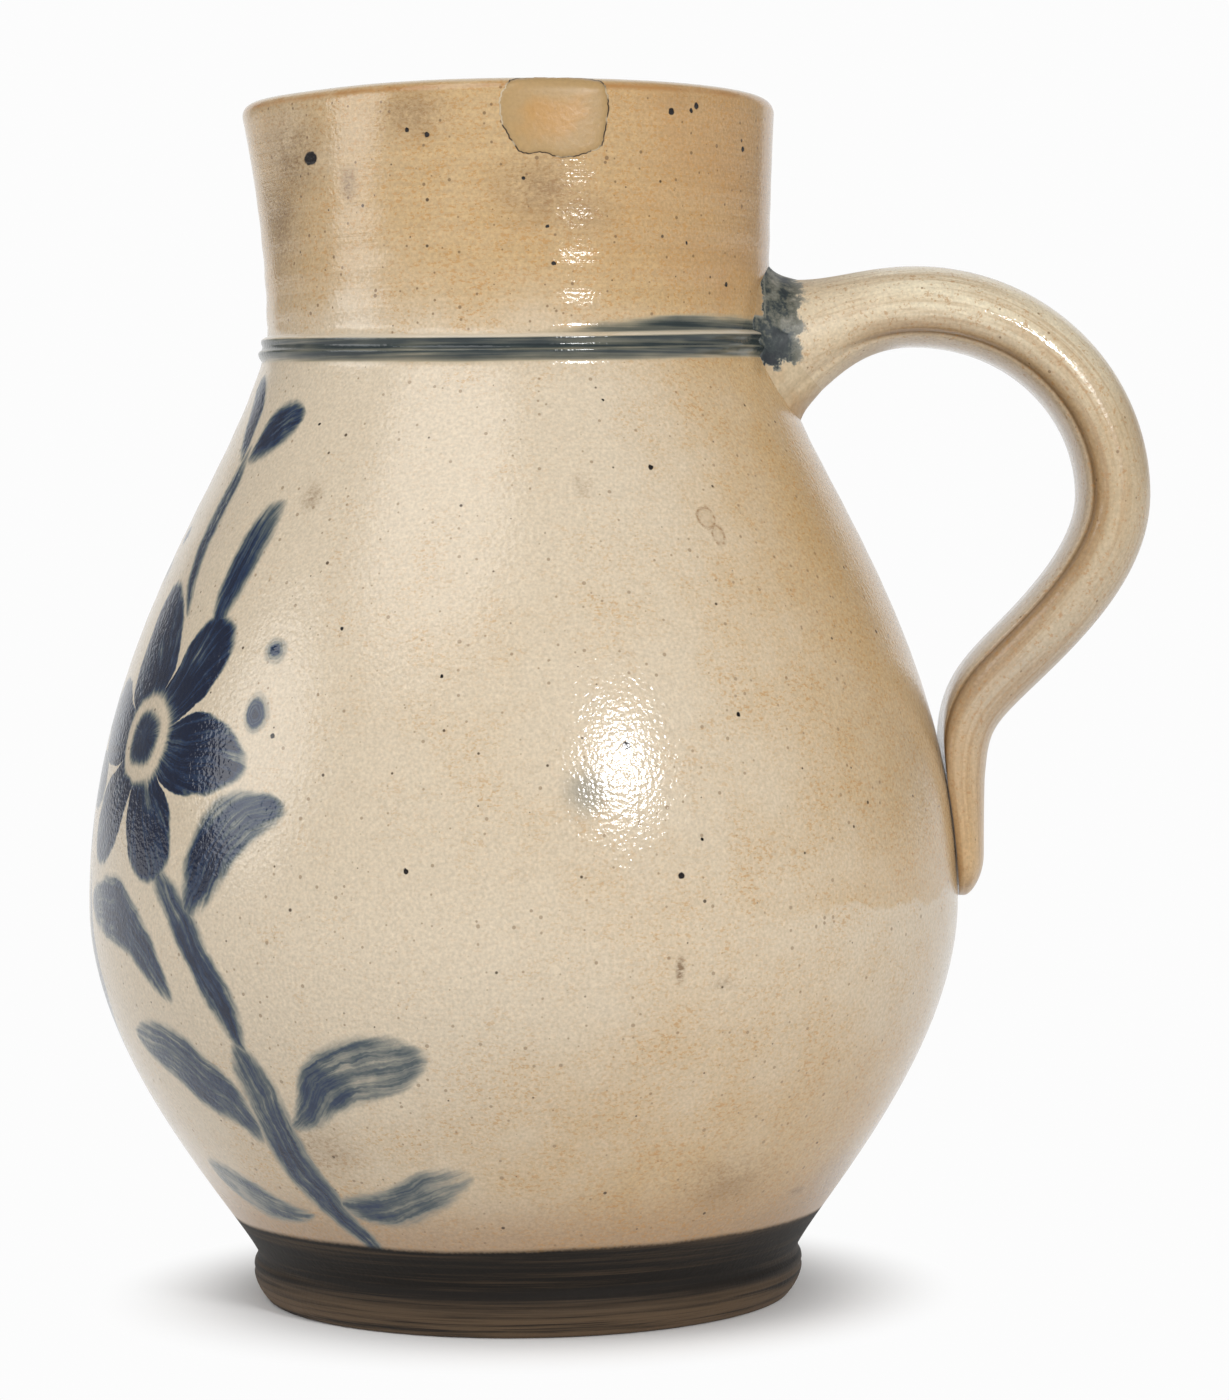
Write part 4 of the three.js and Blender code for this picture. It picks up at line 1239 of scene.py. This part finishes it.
slip_glaze = Finish("cobalt_washed_slip")
lumps = slip_glaze.noise(slip_glaze.place, SLIP_LUMP_SCALE, 4, 0.65)
fine = slip_glaze.noise(slip_glaze.place, FINE_GRAIN_SCALE, 2)
east, _, up = slip_glaze.parts(slip_glaze.place)
off_neck = slip_glaze.rise(east, WASH_START - SLIP_NECK_FADE, WASH_START + SLIP_NECK_FADE)
colour = slip_glaze.blend(off_neck, SLIP_ON_NECK_PAINTED_SHADE, SLIP_CLAY)
low_down = slip_glaze.rise(up, *SLIP_RUST_RISE, 0, 0.5)
rusty = slip_glaze.plus(slip_glaze.rise(lumps, 0.44, 0.70, 0, 0.3), low_down)
colour = slip_glaze.blend(rusty, colour, SLIP_RUST)
colour = slip_glaze.shaded(colour, slip_glaze.plus(SLIP_DARKEST, slip_glaze.times(fine, GRAIN_SPAN)))
slip_glaze.coat(upper_slip, {
    "Base Color": with_root_wash(slip_glaze, colour),
    "Roughness": slip_glaze.rise(lumps, 0.3, 0.7, 0.40, 0.54),
    "Normal": slip_glaze.relief(lumps, SLIP_LUMP_DEPTH),
})
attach(upper_slip, "root")
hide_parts("upper_luting_slip")

# Lower luting slip: the bed of slip under the flattened tail, squeezed a little out of sight between the
# strap and the belly. Its dark colour is painted shade for the crevice there.
BED_BELOW_ELBOW = 0.0065
BED_ABOVE_TIP = 0.0018
BED_TOP = BELLY_HEIGHT + ELBOW_RISE - BED_BELOW_ELBOW
BED_BOTTOM = BELLY_HEIGHT + BED_ABOVE_TIP
BED_HALF_WIDTH = 0.0118
BED_ROUNDING = 0.010
BED_END_TAPER = 0.85
BED_ROWS = 28
BED_COLUMNS = 16
BED_SINK = 0.0003

mesh = bmesh.new()
bmesh.ops.create_grid(mesh, x_segments=BED_COLUMNS, y_segments=BED_ROWS, size=1)
for vert in mesh.verts:
    at_height = BED_BOTTOM + (BED_TOP - BED_BOTTOM) * (vert.co.y + 1) / 2
    from_end = min(max((BED_BOTTOM + BED_ROUNDING - at_height) / BED_ROUNDING, 0), 1)
    across = vert.co.x * BED_HALF_WIDTH * math.sqrt(1 - BED_END_TAPER * from_end**2)
    radius = outer_radius(at_height) - BED_SINK
    vert.co = (math.sqrt(radius**2 - across**2), across, at_height)
bmesh.ops.recalc_face_normals(mesh, faces=mesh.faces)
bmesh.ops.solidify(mesh, geom=mesh.faces[:], thickness=BED_THICKNESS + 2 * BED_SINK)
bmesh.ops.recalc_face_normals(mesh, faces=mesh.faces)
lower_slip = finished("lower_luting_bed", mesh)

# Dark brown of the bed: painted shade between the strap and the belly
BED_SHADE_BROWN = (0.20, 0.125, 0.065)
BED_TAN = (0.40, 0.28, 0.16)
BED_LUMP_SCALE = 420
BED_LUMP_DEPTH = 0.0003

bed_shade_finish = Finish("slip_bed_painted_shade")
lumps = bed_shade_finish.noise(bed_shade_finish.place, BED_LUMP_SCALE, 4, 0.65)
bed_shade_finish.coat(lower_slip, {
    "Base Color": bed_shade_finish.blend(bed_shade_finish.rise(lumps, 0.35, 0.7), BED_SHADE_BROWN, BED_TAN),
    "Roughness": bed_shade_finish.rise(lumps, 0.3, 0.7, 0.5, 0.75),
    "Normal": bed_shade_finish.relief(lumps, BED_LUMP_DEPTH),
})
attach(lower_slip, "root")
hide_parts("lower_luting_slip")

# Rim fill: tinted plaster pressed into an old chip at the front of the rim and rubbed down by hand. It
# stands a little proud, and dirt has settled in the crack round it.
CHIP_TURN = 9.5
CHIP_WIDTH = 0.0228
CHIP_HEIGHT = 0.0164
CHIP_OUTLINE = (
    (-0.36, -0.04), (-0.46, -0.16), (-0.5, -0.38), (-0.45, -0.66), (-0.31, -0.93), (-0.1, -0.94),
    (0.06, -1.0), (0.28, -0.94), (0.42, -0.84), (0.48, -0.48), (0.47, -0.18), (0.38, -0.04), (0.0, 0.0),
)
CHIP_MIDDLE = Vector((0.0, -0.48))
FILL_STAND = 0.0004
FILL_SINK = 0.0018
FILL_EDGE_SHARE = 0.35
FILL_EDGE_POWER = 6
FILL_GAP_SHARE = 0.995
FILL_EDGE_MARK = 0.98
CRACK_WIDTH = 0.00030
CRACK_WANDER = 0.016
CRACK_WAVES = ((1.31, 0), (0.53, 1), (2.7, 2))
CRACK_MARK = 1.2
CRACK_STAND = 0.00004
OUTLINE_STEPS = 9
FILL_RINGS = 14


def smooth_outline(points, steps):
    """Closed outline that runs smoothly through the given points."""
    count = len(points)
    outline = []
    for i in range(count):
        before, start, end, after = (Vector(points[(i + k) % count]) for k in (-1, 0, 1, 2))
        leave = start + (end - before) / 6
        arrive = end - (after - start) / 6
        outline += bend_points(steps, start, leave, arrive, end)[:-1]
    return outline


def on_rim(share, stand):
    """Point of the neck's outside at a share of the chip's width and height, standing off by an amount."""
    at_height = HEIGHT + share.y * CHIP_HEIGHT
    over_lip = (at_height - HEIGHT + LIP_ROUNDING) / LIP_ROUNDING
    if over_lip > 0:
        radius = RIM_RADIUS - LIP_ROUNDING + (LIP_ROUNDING + stand) * math.sqrt(1 - over_lip**2)
        at_height += stand * over_lip
    else:
        radius = outer_radius(at_height) + stand
    angle = math.radians(CHIP_TURN) + share.x * CHIP_WIDTH / RIM_RADIUS
    radius += spout_pull(math.pi / 2 + angle, at_height)
    return Vector((radius * math.sin(angle), -radius * math.cos(angle), min(at_height, HEIGHT)))


fill_outline = smooth_outline(CHIP_OUTLINE, OUTLINE_STEPS)
for number, share in enumerate(fill_outline):
    wander = sum(math.sin(number * rate + start) for rate, start in CRACK_WAVES)
    fill_outline[number] = CHIP_MIDDLE + (share - CHIP_MIDDLE) * (1 + CRACK_WANDER * wander / 2)
crack_share = CRACK_WIDTH / (CHIP_WIDTH / 2)
fill_rings = [
    (1 + crack_share, -FILL_SINK, CRACK_MARK),
    (1 + crack_share, CRACK_STAND, CRACK_MARK),
    (1.0, CRACK_STAND, 1.0),
]
for step in range(FILL_RINGS):
    share = 1 - step / FILL_RINGS
    rounding = math.sqrt(1 - share**FILL_EDGE_POWER)
    stand = FILL_STAND * (FILL_EDGE_SHARE + (1 - FILL_EDGE_SHARE) * rounding)
    fill_rings.append((share * FILL_GAP_SHARE, stand, share * FILL_EDGE_MARK))

mesh = bmesh.new()
edge_share = mesh.verts.layers.float.new("edge_share")
ring = bmesh.ops.create_circle(mesh, segments=len(fill_outline), radius=CHIP_WIDTH)["verts"]
for number, (scale, stand, from_middle) in enumerate(fill_rings):
    if number:
        ring = next_ring(mesh, ring)
    for vert, share in zip(ring, fill_outline):
        place = CHIP_MIDDLE + (share - CHIP_MIDDLE) * scale
        vert.co = on_rim(Vector((place.x, min(place.y, 0.0))), stand)
        vert[edge_share] = from_middle
bmesh.ops.holes_fill(mesh, edges=[edge for edge in mesh.edges if edge.is_boundary], sides=0)
bmesh.ops.recalc_face_normals(mesh, faces=mesh.faces)
rim_fill = finished("rim_chip_fill", mesh)

FILL_PALE = (0.425, 0.278, 0.122)
FILL_WARM = (0.48, 0.268, 0.088)
CRACK_DIRT = (0.060, 0.036, 0.017)
FILL_PATCH_SCALE = 130
FILL_PATCH_SWAY = 1.8
FILL_FINE_SCALE = 1400
FILL_DARKEST = 0.88
FILL_SHADE_SPAN = 0.24
FILL_SPECKS = (330, 0.16, 0.3)
CRACK_PATCH_SCALE = 260
FILL_GRAIN_SCALE = 700
FILL_GRAIN_DEPTH = 0.00012

plaster = Finish("tinted_plaster_fill")
share = plaster.node("Attribute", attribute_name="edge_share").outputs["Fac"]
patches = plaster.noise(plaster.place, FILL_PATCH_SCALE, 3)
fine = plaster.noise(plaster.place, FILL_FINE_SCALE, 2)
middle = plaster.rise(plaster.plus(share, plaster.sway(patches, FILL_PATCH_SWAY)), 0.95, 0.15)
colour = plaster.blend(middle, FILL_PALE, FILL_WARM)
colour = plaster.shaded(colour, plaster.plus(FILL_DARKEST, plaster.times(fine, FILL_SHADE_SPAN)))
specks = plaster.dots(*FILL_SPECKS)
colour = plaster.blend(plaster.times(specks, 0.7), colour, BROWN_SPECK)
crack = plaster.rise(share, 0.985, 1.0)
clean_crack = plaster.rise(plaster.noise(plaster.place, CRACK_PATCH_SCALE, 3), 0.44, 0.56)
colour = plaster.blend(crack, colour, plaster.blend(clean_crack, CRACK_DIRT, SLIP_CLAY))
plaster.coat(rim_fill, {
    "Base Color": colour,
    "Roughness": plaster.rise(patches, 0.3, 0.7, 0.34, 0.46),
    "Normal": plaster.relief(plaster.noise(plaster.place, FILL_GRAIN_SCALE, 3), FILL_GRAIN_DEPTH),
})
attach(rim_fill, "root")
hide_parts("rim_fill")

# Floor and backdrop: white paper that the pitcher stands on and is seen against. The floor's far edge is
# turned up, so that a low view from any side still ends on paper.
FLOOR_HALF = 8.0
FLOOR_EDGE_RISE = 0.45
FLOOR_DROP = 0.0002
FLOOR_SHADE_NEAR = 0.052
FLOOR_SHADE_FAR = 0.096
BACKDROP_BEHIND = 2.2
BACKDROP_HALF = 1.6
BACKDROP_EDGE_RISE = 0.02
PAPER_WHITE = (0.90, 0.90, 0.90)
BACKDROP_WHITE = (0.975, 0.975, 0.975)
BLACK = (0, 0, 0)


def paper_sheet(name, half, edge_rise, place):
    """A square of paper with its edges turned up by a rise, moved and turned into place."""
    sheet = bmesh.new()
    bmesh.ops.create_grid(sheet, x_segments=1, y_segments=1, size=half)
    turned_up = bmesh.ops.extrude_edge_only(sheet, edges=sheet.edges)["geom"]
    edge = [part for part in turned_up if isinstance(part, bmesh.types.BMVert)]
    bmesh.ops.translate(sheet, verts=edge, vec=(0, 0, edge_rise))
    bmesh.ops.transform(sheet, matrix=place, verts=sheet.verts)
    piece = finished(name, sheet)
    piece.data.shade_flat()
    return piece


def seen_directly(paper):
    """1 for what the camera sees, straight or in a reflection, and 0 for light that a surface scatters."""
    path = paper.node("LightPath").outputs
    seen = paper.reckon("MAXIMUM", path["Is Camera Ray"], path["Is Glossy Ray"])
    return paper.reckon("MAXIMUM", seen, path["Is Transmission Ray"])


floor = paper_sheet("floor_paper", FLOOR_HALF, FLOOR_EDGE_RISE, Matrix.Translation((0, 0, -FLOOR_DROP)))
floor_paper = Finish("floor_paper")
from_pot = floor_paper.measure("LENGTH", floor_paper.place)
far_off = floor_paper.rise(from_pot, FLOOR_SHADE_NEAR, FLOOR_SHADE_FAR)
near_share = floor_paper.reckon("SUBTRACT", 1, floor_paper.times(far_off, seen_directly(floor_paper)))
floor_paper.coat(floor, {
    "Base Color": floor_paper.blend(near_share, BLACK, PAPER_WHITE),
    "Emission Color": BACKDROP_WHITE,
    "Emission Strength": floor_paper.reckon("SUBTRACT", 1, near_share),
    "Roughness": 1.0,
    "Specular IOR Level": 0.0,
})

upright = Matrix.Translation((0, BACKDROP_BEHIND, BACKDROP_HALF)) @ Matrix.Rotation(math.pi / 2, 4, "X")
backdrop = paper_sheet("backdrop_paper", BACKDROP_HALF, BACKDROP_EDGE_RISE, upright)
backdrop_paper = Finish("backdrop_paper")
seen = seen_directly(backdrop_paper)
backdrop_paper.coat(backdrop, {
    "Base Color": backdrop_paper.blend(seen, PAPER_WHITE, BLACK),
    "Emission Color": BACKDROP_WHITE,
    "Emission Strength": seen,
    "Specular IOR Level": 0.0,
})

# Studio light: a soft key at the right of the camera, broad soft lights overhead and at the left, and dim
# fill. Each lamp has a name, a place, the point it faces, a width and a power.
LAMPS = (
    ("key_light", (0.396, -0.781, 0.443), (0.0, 0.0, 0.14), 0.17, 3.9),
    ("overhead_light", (-0.45, -0.62, 1.15), (0.0, 0.0, 0.12), 0.9, 4.3),
    ("left_light", (-1.3, -0.35, 0.55), (0.0, 0.0, 0.12), 0.8, 4.4),
)
FILL_STRENGTH = 0.31
for name, place, target, size, power in LAMPS:
    lamp = bpy.data.lights.new(name, "AREA")
    lamp.shape = "DISK"
    lamp.size = size
    lamp.energy = power
    stand = bpy.data.objects.new(name, lamp)
    stand.location = place
    stand.rotation_euler = (Vector(target) - Vector(place)).to_track_quat("-Z", "Y").to_euler()
    bpy.context.scene.collection.objects.link(stand)
world = bpy.data.worlds.new("studio")
world.use_nodes = True
world.node_tree.nodes["Background"].inputs["Color"].default_value = (1, 1, 1, 1)
world.node_tree.nodes["Background"].inputs["Strength"].default_value = FILL_STRENGTH
bpy.context.scene.world = world

# Camera: a long lens a little under a metre away, level with the shoulder and tipped slightly down. Its
# angles are in radians, and its lens and sensor in millimetres.
CAMERA_PLACE = (0.0190, -0.9148, 0.1674)
CAMERA_TIP = 0.04128
CAMERA_TURN = 0.00131
CAMERA_ROLL = -0.00988
CAMERA_LENS = 107.24
CAMERA_SENSOR = 36.0
camera = bpy.data.objects.new("camera", bpy.data.cameras.new("camera"))
camera.data.lens = CAMERA_LENS
camera.data.sensor_width = CAMERA_SENSOR
camera.matrix_world = (
    Matrix.Translation(CAMERA_PLACE)
    @ Matrix.Rotation(-CAMERA_TURN, 4, "Z")
    @ Matrix.Rotation(math.pi / 2 - CAMERA_TIP, 4, "X")
    @ Matrix.Rotation(CAMERA_ROLL, 4, "Z")
)
bpy.context.scene.collection.objects.link(camera)
bpy.context.scene.camera = camera
bpy.context.scene.view_settings.view_transform = "Standard"
